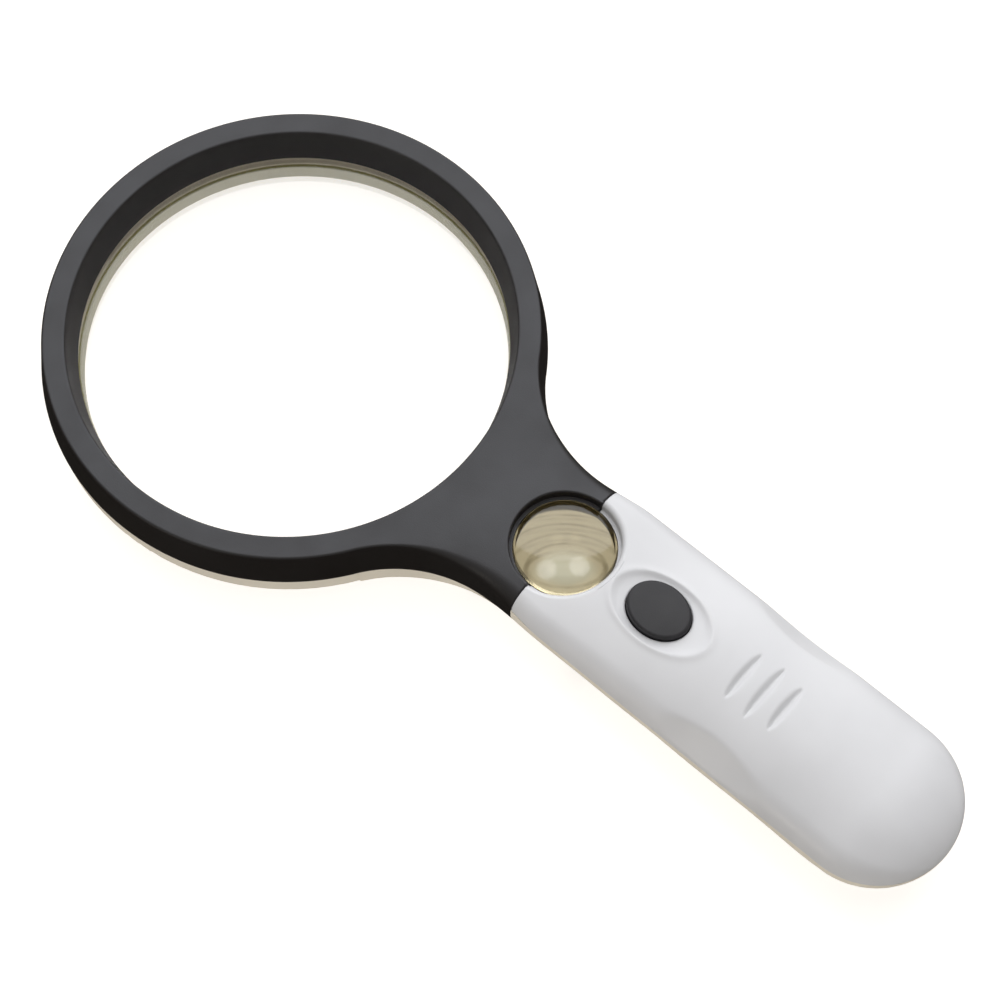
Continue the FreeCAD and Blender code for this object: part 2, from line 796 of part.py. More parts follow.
def rear_housing():
    """Join the rear ring, neck and handle, and open the windows, bores and battery bay."""
    low_neck = block("low_neck", (lens_x, border_x), (-FAR, FAR), (BELOW, parting_z))
    low_handle = block("low_handle", (border_x, FAR), (-FAR, FAR), (BELOW, handle_parting_z))
    outer = overlap("rear_outer", rear_form, join("rear_halves", low_neck, low_handle))
    bore = cylinder("rear_bore", dim("rear_bore_radius"), ABOVE, lens_x, 0, BELOW)
    pocket = cylinder("rear_pocket", dim("lens_rim_radius") + gap, ABOVE, lens_x, 0,
                      dim("lens_rim_low_z") - dim("rim_relief"))
    body = cut("rear_hollowed", join("rear_joined", rear_ring(), outer), hollow, bore, pocket)
    posts = overlap("rear_posts", pillars("rear_neck_posts", 0, ABOVE, dim("boss_radius")), outer)
    solid = join("rear_with_posts", body, posts)
    return node(cut("rear_housing_cut", solid, *rear_holes()), "rear_housing")


def battery_door():
    """Cut the door from the same outer form, with a ribbed grip near its front edge."""
    side = dim("door_half_width")
    region = block("door_region", (dim("door_front_x") + gap, FAR), (-side, side), (BELOW, dim("door_top_z")))
    skin = cut("door_skin", overlap("door_outer", rear_form, region), cavity)
    reach = dim("rib_half_length")
    ribs = [
        cylinder("door_rib_%d" % index, dim("rib_radius"), reach * 2,
                 dim("door_front_x") + dim("rib_pitch") * (index + 1.4), -reach, -dim("rib_sink"), ALONG_Y)
        for index in range(1, 6)
    ]
    return node(cut("door_cut", skin, *ribs), "battery_door")


# ---------------------------------------------------------------- optics

def dome(label, radius, sag, x, top_z, faces_up):
    """Make the sphere whose cap has this rim radius and sag, lying so that no pole is on the cap."""
    size = (radius.value ** 2 + sag.value ** 2) / (2 * sag.value)
    sphere = doc.addObject("Part::Sphere", label)
    formula = "(%s * %s + %s * %s) / (2 * %s)" % (radius.text, radius.text, sag.text, sag.text, sag.text)
    reach = Size(size, "(%s)" % formula)
    bind(sphere, "Radius", reach)
    return place(sphere, x, 0, top_z - reach if faces_up else top_z + reach, ALONG_Y)


def lens(name, radius, low, high, front_sag, rear_sag, x):
    """Make a lens with two domed faces and a plain rim."""
    rim = cylinder(name + "_rim", radius, high - low + front_sag + rear_sag, x, 0, low - rear_sag)
    front = dome(name + "_front", radius, front_sag, x, high + front_sag, True)
    rear = dome(name + "_rear", radius, rear_sag, x, low - rear_sag, False)
    return node(overlap(name + "_solid", overlap(name + "_capped", rim, front), rear), name)


def optics():
    """Make both lenses, the seal under the large one and the tube under the small one."""
    lens("main_lens", dim("lens_rim_radius"), dim("lens_rim_low_z"), dim("lens_rim_top_z"),
         dim("lens_front_sag"), dim("lens_rear_sag"), lens_x)
    bore = dim("rear_bore_radius")
    seal_top = dim("lens_rim_low_z") - dim("rim_relief") * 3
    seal = rectangle(bore - dim("seal_thickness"), bore, dim("seal_low_z"), seal_top)
    node(turned("main_lens_seal", seal, lens_x, 0, 0), "main_lens_seal")
    lens("small_lens", dim("small_lens_radius"), dim("small_rim_low_z"), dim("small_rim_top_z"),
         dim("small_front_sag"), dim("small_rear_sag"), border_x)
    step_z = dim("recess_floor_z") - dim("seat_thickness") - gap
    neck_radius = dim("small_lens_radius") - gap
    barrel = [
        (dim("barrel_inner"), dim("wall")),
        (dim("barrel_outer"), dim("wall")),
        (dim("barrel_outer"), step_z),
        (neck_radius, step_z),
        (neck_radius, dim("barrel_top_z")),
        (dim("barrel_inner"), dim("barrel_top_z")),
    ]
    node(turned("small_lens_barrel", barrel, border_x, 0, 0), "small_lens_barrel")


# ---------------------------------------------------------------- button and switch

def power_button():
    """Make the domed oval cap with the flange that keeps it in the shell."""
    x = dim("button_x")
    flange_z = dim("button_flange_z")
    cap = oval_prism("button_cap", dim("button_half_length"), dim("button_half_width"),
                     dim("button_top_z") - flange_z, x, flange_z)
    height = dim("button_dome_height")
    spread = sheet.button_dome_spread
    radii = (dim("button_half_length") * spread, dim("button_half_width") * spread, height)
    dome = ellipsoid("button_dome", radii, x, 0, dim("button_top_z") - height)
    flange = oval_prism("button_flange", dim("button_flange_width"), dim("button_flange_length"),
                        dim("button_flange_thickness"), x, flange_z)
    flange.Base.Placement.Rotation = FreeCAD.Rotation(FreeCAD.Vector(0, 0, 1), 90)
    return node(join("button_solid", overlap("button_domed", cap, dome), flange), "power_button")


def switch_parts():
    """Make the latching push switch, its plunger and the return spring round the plunger."""
    x = dim("button_x")
    half = dim("switch_size") * 0.5
    stem = dim("plunger_size") * 0.5
    board_top = dim("board_z") + dim("board_thickness")
    case = block("switch_case", (x - half, x + half), (-half, half), (board_top, dim("switch_top_z")))
    side = stem + gap
    well_floor = board_top + dim("switch_floor")
    well = block("switch_well", (x - side, x + side), (-side, side), (well_floor, ABOVE))
    node(cut("switch_case_cut", case, well), "switch_body")
    plunger = block("plunger_solid", (x - stem, x + stem), (-stem, stem),
                    (well_floor + dim("button_travel") + gap, dim("button_flange_z")))
    node(plunger, "switch_plunger")
    wire = sheet.return_wire / 2
    seat = sheet.switch_top_z + wire + sheet.coil_play
    height = sheet.button_flange_z - wire - sheet.coil_play - seat
    spring = coil("return_coil", sheet.return_coil_radius, wire, height, sheet.return_turns, x, 0, seat)
    node(spring, "button_spring")


def switch_board():
    """Make the board under the switch, with its series resistor."""
    x = dim("button_x")
    side = dim("board_half_width")
    outline = rectangle(x - dim("board_front_reach"), x + dim("board_rear_reach"), -side, side)
    node(plate("switch_board", outline, dim("board_thickness"), 0, 0, dim("board_z")), "switch_board")
    top = dim("board_z") + dim("board_thickness")
    middle = dim("resistor_x")
    length = dim("resistor_half_length")
    width = dim("resistor_half_width")
    resistor = block("resistor_solid", (middle - length, middle + length), (-width, width),
                     (top, top + dim("resistor_height")))
    node(resistor, "series_resistor")


# ---------------------------------------------------------------- reading lamps

def lamps():
    """Make the lamp board and three round lamps that shine down."""
    x = dim("lamp_x")
    board_z = dim("lamp_board_z")
    side = dim("lamp_board_half_width")
    outline = rectangle(x - dim("lamp_board_front"), x + dim("lamp_board_rear"), -side, side)
    node(plate("lamp_board", outline, dim("board_thickness"), 0, 0, board_z), "lamp_board")
    radius = dim("lamp_radius")
    height = dim("lamp_height")
    flange_z = height - dim("lamp_flange_height")
    profile = [
        (0, 0, radius),
        (radius, radius),
        (radius, flange_z),
        (radius + dim("lamp_flange"), flange_z),
        (radius + dim("lamp_flange"), height),
        (0, height),
    ]
    for index in (1, 2, 3):
        name = "led_lamp_%d" % index
        y = dim("lamp_pitch") * (index - 2)
        node(turned(name, profile, x, y, board_z - height), name)


def lamp_window():
    """Make the clear pane in the neck's back, with the rim that keeps it in."""
    low_x = dim("window_low_x")
    high_x = dim("window_high_x")
    half = dim("window_half_width")
    play = gap * 0.5
    rim = dim("window_flange")
    rim_z = dim("wall") + play
    pane = block("window_pane", (low_x + play, high_x - play), (play - half, half - play),
                 (dim("window_low_z"), rim_z))
    flange = block("window_rim", (low_x - rim, high_x + rim), (-half - rim, half + rim),
                   (rim_z, rim_z + dim("window_rim_height")))
    node(join("window_joined", pane, flange), "lamp_window")


# ---------------------------------------------------------------- cells and contacts

contact_x = dim("bay_front_x") + dim("cradle_wall")
rear_contact_x = (contact_x + dim("contact_thickness") + dim("cell_spring_room") + gap
                  + dim("cell_length"))


def cell(name, y, front_x, nub_forward):
    """Turn one cell along X, with its nub towards the ring or towards the tail."""
    length = dim("cell_length")
    shoulder = length - dim("cell_nub")
    radius = dim("cell_radius")
    edge = dim("cell_edge")
    nub_radius = dim("cell_nub_radius")
    profile = [
        (0, 0),
        (radius - edge, 0),
        (radius, edge),
        (radius, shoulder - edge),
        (radius - edge, shoulder),
        (nub_radius, shoulder),
        (nub_radius, length),
        (0, length),
    ]
    turn = ALONG_MINUS_X if nub_forward else ALONG_X
    foot = front_x + length if nub_forward else front_x
    return node(turned(name, profile, foot, y, dim("cell_z"), turn), name)


def contact_plate(label, x, y_low, y_high):
    """Make a sprung steel plate across the bay."""
    z = dim("cell_z")
    reach = dim("contact_half_height")
    return block(label, (x, x + dim("contact_thickness")), (y_low, y_high), (z - reach, z + reach))


def front_contact(name, y):
    """Make a front contact plate with the tab that runs through the cradle onto the board."""
    reach = dim("contact_half_width")
    face = contact_plate(name + "_plate", contact_x, y - reach, y + reach)
    top = dim("board_z") + dim("board_thickness")
    half = dim("tab_half_width")
    tab = block(name + "_tab", (dim("bay_front_x") - dim("tab_reach"), contact_x + dim("tab_lap")),
                (y - half, y + half), (top, top + dim("contact_thickness")))
    return node(join(name + "_joined", face, tab), name)


def cell_spring(name, x, y, turn):
    """Wind the cone-shaped coil that presses on a cell."""
    wire = sheet.cell_spring_wire
    height = sheet.cell_spring_room - 2 * wire
    spring = coil(name + "_coil", sheet.cell_spring_radius, wire, height, sheet.cell_spring_turns,
                  x, y, dim("cell_z"), turn, sheet.cell_spring_slant)
    return node(spring, name)


def cells_and_contacts():
    """Lay two cells side by side, nose to tail, between their contacts."""
    y = dim("cell_y")
    face_x = contact_x + dim("contact_thickness")
    standoff = dim("cell_spring_wire") + dim("coil_play")
    cell("battery_cell_1", y, face_x, True)
    cell("battery_cell_2", -y, face_x + dim("cell_spring_room") + gap, False)
    front_contact("positive_contact", y)
    front_contact("negative_contact", -y)
    cell_spring("negative_spring", face_x + standoff, -y, ALONG_X)
    reach = dim("bridge_half_width")
    node(contact_plate("bridge_plate", rear_contact_x, -reach, reach), "bridge_contact")
    cell_spring("bridge_spring", rear_contact_x - standoff, y, ALONG_MINUS_X)


def battery_cradle():
    """Make the tray over the cells, with walls that hold the contacts."""
    front_x = dim("bay_front_x")
    rear_x = dim("bay_rear_x")
    wall = dim("cradle_wall")
    side = dim("cradle_half_width")
    stock_block = block("cradle_block", (front_x, rear_x), (-side, side), (dim("cradle_low_z"), ABOVE))
    stock = overlap("cradle_stock", stock_block, fill)
    bay = (front_x + wall, rear_x - wall)
    play = gap * 3
    scoops = [
        cylinder("cradle_scoop_%d" % index, dim("cell_radius") + play, rear_x - front_x - wall * 2,
                 bay[0], dim("cell_y") * step, dim("cell_z"), ALONG_X)
        for index, step in enumerate((-1, 1), start=1)
    ]
    drop_side = dim("cell_y") + dim("cell_radius") + play
    drop = block("cradle_drop", bay, (-drop_side, drop_side), (0, dim("cell_z")))
    slot_top = dim("cell_z") + dim("contact_half_height") + gap
    front_side = dim("cell_y") + dim("contact_half_width") + play
    front_slot = block("cradle_front_slot", (bay[0], bay[0] + dim("contact_thickness") + gap),
                       (-front_side, front_side), (0, slot_top))
    rear_side = dim("bridge_half_width") + gap
    rear_slot = block("cradle_rear_slot", (rear_contact_x - gap * 2, bay[1]), (-rear_side, rear_side),
                      (0, slot_top))
    button_way = block("cradle_button_way", (front_x, front_x + dim("cradle_button_room")),
                       (-FAR, FAR), (dim("cradle_button_z"), ABOVE))
    top = dim("board_z") + dim("board_thickness")
    tab_side = dim("tab_half_width") + gap
    tab_slots = [
        block("cradle_tab_slot_%d" % index, (front_x, bay[0]),
              (dim("cell_y") * step - tab_side, dim("cell_y") * step + tab_side),
              (top - gap, top + dim("contact_thickness") + gap))
        for index, step in enumerate((-1, 1), start=1)
    ]
    tools = (drop, front_slot, rear_slot, button_way, *scoops, *tab_slots)
    return node(cut("cradle_cut", stock, *tools), "battery_cradle")


# ---------------------------------------------------------------- fasteners and wires

def housing_screws():
    """Make the four self-tapping screws, which share one node."""
    head = dim("screw_head_radius")
    shank = dim("screw_radius")
    under_head = dim("screw_head_height")
    profile = [
        (0, 0),
        (head, 0),
        (head, under_head),
        (shank, under_head),
        (shank, dim("screw_length") - dim("screw_point")),
        (0, dim("screw_length")),
    ]
    slot_side = dim("screw_slot_half_width")
    screws = []
    for index, (x, y, z) in enumerate(screw_spots(), start=1):
        body = turned("screw_%d" % index, profile, x, y, z)
        slot = block("screw_slot_%d" % index, (x - head, x + head), (y - slot_side, y + slot_side),
                     (0, z + under_head * 0.4))
        screws.append(cut("slotted_screw_%d" % index, body, slot))
    group = doc.addObject("Part::Compound", "screw_group")
    group.Links = screws
    return node(group, "housing_screws")


def lamp_wires():
    """Run one wire each side of the small lens, from the switch board to the lamp board."""
    route = ((24.2, 6.6), (19.8, 9.0), (13.2, 11.1), (6.6, 8.2), (2.2, 6.2), (-0.6, 6.2))
    for name, side in (("lamp_wire_red", 1), ("lamp_wire_black", -1)):
        corners = [FreeCAD.Vector(x, side * y, sheet.wire_z) for x, y in route]
        node(cable(name, sheet.wire_radius, corners, sheet.wire_bend), name)


# ---------------------------------------------------------------- build

front_ring_frame()
handle_front_shell()
rear_housing()
battery_door()
optics()
power_button()
switch_parts()
switch_board()
lamps()
lamp_window()
cells_and_contacts()
battery_cradle()
housing_screws()
lamp_wires()
doc.recompute()

for feature in doc.Objects:
    if "Invalid" in feature.State or "Error" in feature.State:
        raise ValueError("%s failed: %s" % (feature.Label, feature.State))

os.makedirs("parts", exist_ok=True)
for feature in nodes:
    if feature.Shape.isNull() or not feature.Shape.isValid() or not feature.Shape.Solids:
        raise ValueError("%s has no valid solid" % feature.Label)
    feature.Shape.exportStep("parts/%s.step" % feature.Label)
    box = feature.Shape.BoundBox
    print("%-20s %d solid(s) %9.1f mm3  x %6.1f %6.1f  y %6.1f %6.1f  z %5.2f %5.2f" % (
        feature.Label, len(feature.Shape.Solids), feature.Shape.Volume,
        box.XMin, box.XMax, box.YMin, box.YMax, box.ZMin, box.ZMax))
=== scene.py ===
import json
import math

import bmesh
import bpy
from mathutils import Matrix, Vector


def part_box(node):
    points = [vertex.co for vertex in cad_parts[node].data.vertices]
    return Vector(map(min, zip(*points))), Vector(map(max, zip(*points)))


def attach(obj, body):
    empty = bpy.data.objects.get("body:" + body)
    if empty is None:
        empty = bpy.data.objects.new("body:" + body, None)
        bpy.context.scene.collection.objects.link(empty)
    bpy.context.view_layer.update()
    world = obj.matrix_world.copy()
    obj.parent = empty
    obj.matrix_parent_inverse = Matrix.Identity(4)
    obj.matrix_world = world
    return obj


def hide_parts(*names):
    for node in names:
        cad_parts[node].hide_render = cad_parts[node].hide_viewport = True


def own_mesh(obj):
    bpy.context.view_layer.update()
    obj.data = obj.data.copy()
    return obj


# The looks of a hand-held low vision magnifier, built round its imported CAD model.
# Everything is in metres: +X runs from the ring to the tail, +Z up out of the reading side.

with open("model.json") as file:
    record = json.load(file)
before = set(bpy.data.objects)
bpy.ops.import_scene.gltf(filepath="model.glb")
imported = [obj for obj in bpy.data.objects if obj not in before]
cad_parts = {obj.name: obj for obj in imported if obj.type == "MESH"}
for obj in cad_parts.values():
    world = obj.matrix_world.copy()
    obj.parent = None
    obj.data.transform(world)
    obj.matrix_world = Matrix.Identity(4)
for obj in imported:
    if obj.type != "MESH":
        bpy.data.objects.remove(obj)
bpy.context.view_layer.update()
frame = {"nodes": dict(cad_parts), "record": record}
nodes = frame["nodes"]

MM = 0.001
COLOUR_A, COLOUR_B, COLOUR_OUT = 6, 7, 2     # the colour sockets of a mix node
BEVEL_SAMPLES = 4
EDGE_STARTS, EDGE_FULL = 0.97, 0.75          # how far the two normals agree where the lightened edge, partly wear and partly painted highlight, starts and is full
# The small lens's tan, its dark oval rings and its lighter middle are a painted view through the lens, not
# a tint of the acrylic.
PAINTED_RINGS_MIDDLE = (0.0157, -0.0029, 0.012)       # where the small lens's painted rings centre
PAINTED_RINGS_STRETCH = (1.75, 1.0, 40.0)             # the painted rings are ovals, the same at every depth
PAINTED_RINGS_TURN = 0.71                             # how far the ovals turn, in radians
PAINTED_BRIGHT_FROM, PAINTED_BRIGHT_TO = 1.6 * MM, 3.4 * MM    # the small lens's painted lighter middle fades out between these


def centre(node):
    """Give the middle of a CAD node's box."""
    low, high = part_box(node)
    return (low + high) / 2


def linear(*shades):
    """Turn 0-255 screen shades into the linear colour that a shader takes."""
    channels = []
    for shade in shades:
        share = shade / 255
        channels.append(share / 12.92 if share <= 0.04045 else ((share + 0.055) / 1.055) ** 2.4)
    return (*channels, 1.0)


# ---------------------------------------------------------------- materials

class Shader:
    """A node material whose colour, roughness and bump all come from procedural textures."""

    def __init__(self, name, colour, roughness, **sockets):
        self.material = bpy.data.materials.new(name)
        self.material.use_nodes = True
        self.tree = self.material.node_tree
        self.surface = self.tree.nodes["Principled BSDF"]
        self.surface.inputs["Base Color"].default_value = colour
        self.surface.inputs["Roughness"].default_value = roughness
        for socket, value in sockets.items():
            self.surface.inputs[socket].default_value = value
        self.colour = colour
        self.roughness = roughness
        self.place = self.tree.nodes.new("ShaderNodeTexCoord").outputs["Object"]
        self.normal = None

    def add(self, kind, **inputs):
        """Add a shader node and set its inputs, by name or as _0, _1, to values or other outputs."""
        made = self.tree.nodes.new(kind)
        for socket, value in inputs.items():
            numbered = socket[1:].isdigit()
            target = made.inputs[int(socket[1:]) if numbered else socket.replace("_", " ")]
            if isinstance(value, bpy.types.NodeSocket):
                self.tree.links.new(value, target)
            else:
                target.default_value = value
        return made

    def noise(self, size, detail=3.0, stretch=None):
        """Give a 0-1 noise whose blotches are about this size in metres."""
        place = self.place
        if stretch:
            place = self.add("ShaderNodeMapping", Vector=place, Scale=stretch).outputs["Vector"]
        return self.add("ShaderNodeTexNoise", Vector=place, Scale=1 / size, Detail=detail).outputs["Fac"]

    def span(self, value, low, high, to_low, to_high):
        """Map a range of values onto another."""
        made = self.add("ShaderNodeMapRange", Value=value, From_Min=low, From_Max=high,
                        To_Min=to_low, To_Max=to_high)
        return made.outputs["Result"]

    def mix(self, share, first, second):
        """Mix two colours, each a value or an output."""
        made = self.tree.nodes.new("ShaderNodeMix")
        made.data_type = "RGBA"
        sockets = made.inputs["Factor"], made.inputs[COLOUR_A], made.inputs[COLOUR_B]
        for socket, value in zip(sockets, (share, first, second)):
            if isinstance(value, bpy.types.NodeSocket):
                self.tree.links.new(value, socket)
            else:
                socket.default_value = value
        return made.outputs[COLOUR_OUT]

    def tint(self, size, spread):
        """Vary the colour's brightness a little in soft blotches."""
        dark = [channel * (1 - spread) for channel in self.colour[:3]] + [1.0]
        light = [min(channel * (1 + spread), 1.0) for channel in self.colour[:3]] + [1.0]
        share = self.span(self.noise(size), 0.3, 0.7, 0.0, 1.0)
        self.tree.links.new(self.mix(share, dark, light), self.surface.inputs["Base Color"])
        return self

    def polish(self, size, spread):
        """Vary the roughness, as handling does."""
        rough = self.span(self.noise(size, 4.0), 0.3, 0.7, self.roughness - spread, self.roughness + spread)
        self.tree.links.new(rough, self.surface.inputs["Roughness"])
        return self

    def grain(self, size, depth, detail=2.0, stretch=None):
        """Add a fine bump, on top of any earlier one."""
        height = self.noise(size, detail, stretch)
        bump = self.add("ShaderNodeBump", Strength=1.0, Distance=depth, Height=height)
        if self.normal:
            self.tree.links.new(self.normal, bump.inputs["Normal"])
        self.normal = bump.outputs["Normal"]
        self.tree.links.new(self.normal, self.surface.inputs["Normal"])
        return self

    def edge_wear_and_sheen(self, reach, colour, strength):
        """Lighten the sharp edges, where a wide bevel's normal leaves the surface's own: partly rubbed
        wear, partly a painted highlight where light catches the edges.
        """
        bevel = self.add("ShaderNodeBevel", Radius=reach)
        bevel.samples = BEVEL_SAMPLES
        true = self.tree.nodes.new("ShaderNodeNewGeometry").outputs["Normal"]
        dot = self.tree.nodes.new("ShaderNodeVectorMath")
        dot.operation = "DOT_PRODUCT"
        self.tree.links.new(bevel.outputs["Normal"], dot.inputs[0])
        self.tree.links.new(true, dot.inputs[1])
        edge = self.span(dot.outputs["Value"], EDGE_STARTS, EDGE_FULL, 0.0, strength)
        patchy = self.add("ShaderNodeMath")
        patchy.operation = "MULTIPLY"
        self.tree.links.new(edge, patchy.inputs[0])
        self.tree.links.new(self.span(self.noise(2.5 * MM, 5.0), 0.4, 0.6, 0.35, 1.0), patchy.inputs[1])
        socket = self.surface.inputs["Base Color"]
        base = socket.links[0].from_socket if socket.links else self.colour
        self.tree.links.new(self.mix(patchy.outputs["Value"], base, colour), socket)
        return self


def moulded(name, colour, roughness, grain=0.3 * MM, depth=0.02 * MM):
    """Injection-moulded plastic: faint flow marks, spark-eroded grain and handling shine."""
    shader = Shader(name, colour, roughness)
    return shader.tint(18 * MM, 0.05).polish(9 * MM, 0.05).grain(grain, depth)


def clear(name, colour, roughness=0.02, **sockets):
    """Clear moulded acrylic, with the faintest polish marks."""
    shader = Shader(name, colour, roughness, **{"Transmission Weight": 1.0}, **sockets)
    return shader.polish(14 * MM, 0.012).grain(4 * MM, 0.0015 * MM)


def spot_lens():
    """Strong lens of clear acrylic, with the view through it painted into its colour: tan, with faint dark
    oval rings, lighter in the middle.
    """
    shader = clear("spot_lens", linear(176, 167, 138), 0.09, IOR=1.49)
    oval = shader.add("ShaderNodeMapping", Vector=shader.place, Location=PAINTED_RINGS_MIDDLE,
                      Scale=PAINTED_RINGS_STRETCH, Rotation=(0.0, 0.0, PAINTED_RINGS_TURN))
    oval.vector_type = "TEXTURE"
    rings = shader.add("ShaderNodeTexWave", Vector=oval.outputs["Vector"], Scale=170.0, Distortion=1.6,
                       Detail=1.0, Detail_Scale=0.5)
    rings.wave_type = "RINGS"
    rings.rings_direction = "SPHERICAL"
    patchy = shader.add("ShaderNodeMath", _0=shader.span(rings.outputs["Fac"], 0.0, 0.3, 1.0, 0.0),
                        _1=shader.span(shader.noise(6 * MM), 0.35, 0.65, 0.15, 0.9))
    patchy.operation = "MULTIPLY"
    reach = shader.add("ShaderNodeVectorMath", _0=oval.outputs["Vector"])
    reach.operation = "LENGTH"
    middle = shader.span(reach.outputs["Value"], PAINTED_BRIGHT_FROM, PAINTED_BRIGHT_TO, 1.0, 0.0)
    # Painted refraction and painted light: tan with dark rings, and a lighter middle where light comes up
    # through the opening.
    painted_view = shader.mix(patchy.outputs["Value"], linear(178, 168, 138), linear(122, 111, 82))
    colour = shader.mix(middle, painted_view, linear(200, 198, 178))
    shader.tree.links.new(colour, shader.surface.inputs["Base Color"])
    return shader


def metal(name, colour, roughness, stretch=None):
    """Plated or drawn metal, with a fine brushed grain."""
    shader = Shader(name, colour, roughness, Metallic=1.0)
    return shader.tint(3 * MM, 0.08).polish(2 * MM, 0.06).grain(0.12 * MM, 0.004 * MM, 2.0, stretch)


def make_materials():
    """Make one material for each of the record's slots, and one each for the back and the small lens."""
    grey = linear(33, 32, 35)
    black = moulded("black_shell", linear(27, 23, 20), 0.5, 0.22 * MM, 0.018 * MM)
    black.surface.inputs["Specular IOR Level"].default_value = 0.57
    black.surface.inputs["Specular Tint"].default_value = (0.9, 0.93, 1.0, 1.0)
    # The back is pale plastic; its warm cream tint is partly painted warm light on its shaded sides.
    rear = moulded("rear_shell", linear(228, 220, 204), 0.42, 0.5 * MM, 0.006 * MM)
    white = moulded("white_shell", linear(203, 203, 205), 0.4, 0.5 * MM, 0.006 * MM)
    button = moulded("button", grey, 0.6, 0.16 * MM, 0.02 * MM)
    return {
        # The lighter edge colours below are partly rubbed wear and partly a painted highlight along the
        # edges.
        "black_shell": black.edge_wear_and_sheen(0.5 * MM, linear(120, 118, 120), 0.35),
        "white_shell": white.edge_wear_and_sheen(0.4 * MM, linear(244, 244, 246), 0.25),
        "button": button.edge_wear_and_sheen(0.3 * MM, linear(96, 95, 98), 0.3),
        "rear_shell": rear.edge_wear_and_sheen(0.4 * MM, linear(242, 236, 222), 0.25),
        "white_inner": moulded("white_inner", linear(222, 222, 218), 0.5),
        "dark_inner": moulded("dark_inner", linear(40, 40, 41), 0.5),
        # The tube's tan is painted shade: its pale inside as it looks in shade through the small lens.
        "barrel": moulded("barrel", linear(172, 164, 138), 0.4, 0.3 * MM, 0.01 * MM),
        "lens": clear("lens", (1, 1, 1, 1), IOR=1.49, Alpha=0.22),
        "spot_lens": spot_lens(),
        # The seal's olive colour is painted shade: it stands in for the pale inner wall in shade under the
        # lens rim.
        "seal": moulded("seal", linear(126, 121, 76), 0.75, 0.25 * MM, 0.03 * MM),
        "spring_steel": metal("spring_steel", linear(196, 196, 198), 0.25),
        "board": moulded("board", linear(38, 92, 60), 0.35, 0.4 * MM, 0.01 * MM),
        "lamp": clear("lamp", linear(250, 248, 235), IOR=1.5),
        "window": clear("window", linear(246, 248, 248), IOR=1.49),
        "cell": moulded("cell", linear(52, 74, 112), 0.3, 1.2 * MM, 0.004 * MM),
        "contact": metal("contact", linear(206, 202, 190), 0.3, (1, 8, 1)),
        "screw": metal("screw", linear(176, 178, 182), 0.35, (8, 1, 1)),
        "wire_red": moulded("wire_red", linear(178, 40, 36), 0.35),
        "wire_black": moulded("wire_black", linear(36, 36, 38), 0.35),
    }


shaders = make_materials()


def dress(thing, slot):
    """Give an object one of the slot materials."""
    thing.data.materials.clear()
    thing.data.materials.append(shaders[slot].material)
    return thing


for subpart in frame["record"]["subparts"]:
    dress(nodes[subpart["node"]], subpart["material_slot"])
for back_piece in ("rear_housing", "battery_door"):
    dress(nodes[back_piece], "rear_shell")


# ---------------------------------------------------------------- outer form, in millimetres

ring = centre("main_lens")
eye = centre("small_lens")
knob = centre("power_button")
shell_low, shell_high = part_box("handle_front_shell")
ring_low, ring_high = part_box("front_ring_frame")

RING_X = ring.x / MM
EYE_X = eye.x / MM
KNOB_X = knob.x / MM
HALF_WIDTH = shell_high.y / MM
GRIP_PARTING_Z = shell_low.z / MM
RING_PARTING_Z = ring_low.z / MM
RING_RADIUS = ring_high.y / MM
TAIL_X = shell_high.x / MM - HALF_WIDTH

FACE_Z = 13.0                 # the ring's flat face
CROWN_Z = 17.4                # the top of the grip's crown
CROWN_X = 47.6                # where the crown is highest
WALL = 1.6
DRAFT = math.radians(8.8)     # lean of the ring's side wall
UPRIGHT = 22.0                # where the side stands upright
NECK_FILLET = 25.0            # plan radius between ring and neck
NECK_END = 8.9                # where the neck is narrowest
NECK_HALF_WIDTH = 13.6
GRIP_WIDE = 20.0              # where the grip has its full width
TANGENT = math.atan2(NECK_HALF_WIDTH + NECK_FILLET, NECK_END - RING_X)
NECK_START = RING_X + RING_RADIUS * math.cos(TANGENT)
GRIP_START, GRIP_FULL = -8.4, 13.6           # the section turns from the ring's to the grip's
RISE_START = -9.8             # where the crown starts to rise from the face
SHOULDER_FULL = 2.7           # where the shoulder has its full roundness
NECK_SHOULDER_Z, GRIP_SHOULDER_Z = 12.5, 9.9     # height of the shoulder's centre
NECK_BASE_EDGE, GRIP_BASE_EDGE = 2.0, 9.4    # rounding from the side to the back
SHOULDER_SHARE = 0.76         # the shoulder's share of the crown's rise
TAIL_DROP = 0.75              # how far the crown falls towards the tail
EDGE_SOFTNESS = 0.16          # rounding left along the parting lines
LIP_ROUND = 0.35              # rounding of the mouths' and holes' edges
SOFT_LIP = 1.0                # rounding of the grip's edge round the small lens
KNOB_GAP = 0.16               # slit round the button
KNOB_HALF = (5.75, 4.55)      # the button's half length and half width
FLAT_UNDER = 1e-4             # a crown that bulges less than this is flat
TIP_UNDER = 1e-6              # a section that is drawn in further than this is the tail's tip


def ease(value, low, high):
    """Go smoothly from 0 to 1 as the value goes from low to high."""
    share = min(max((value - low) / (high - low), 0.0), 1.0)
    return share * share * (3 - 2 * share)


def mid(start, end, share):
    """Mix two numbers or two points."""
    return start + (end - start) * share


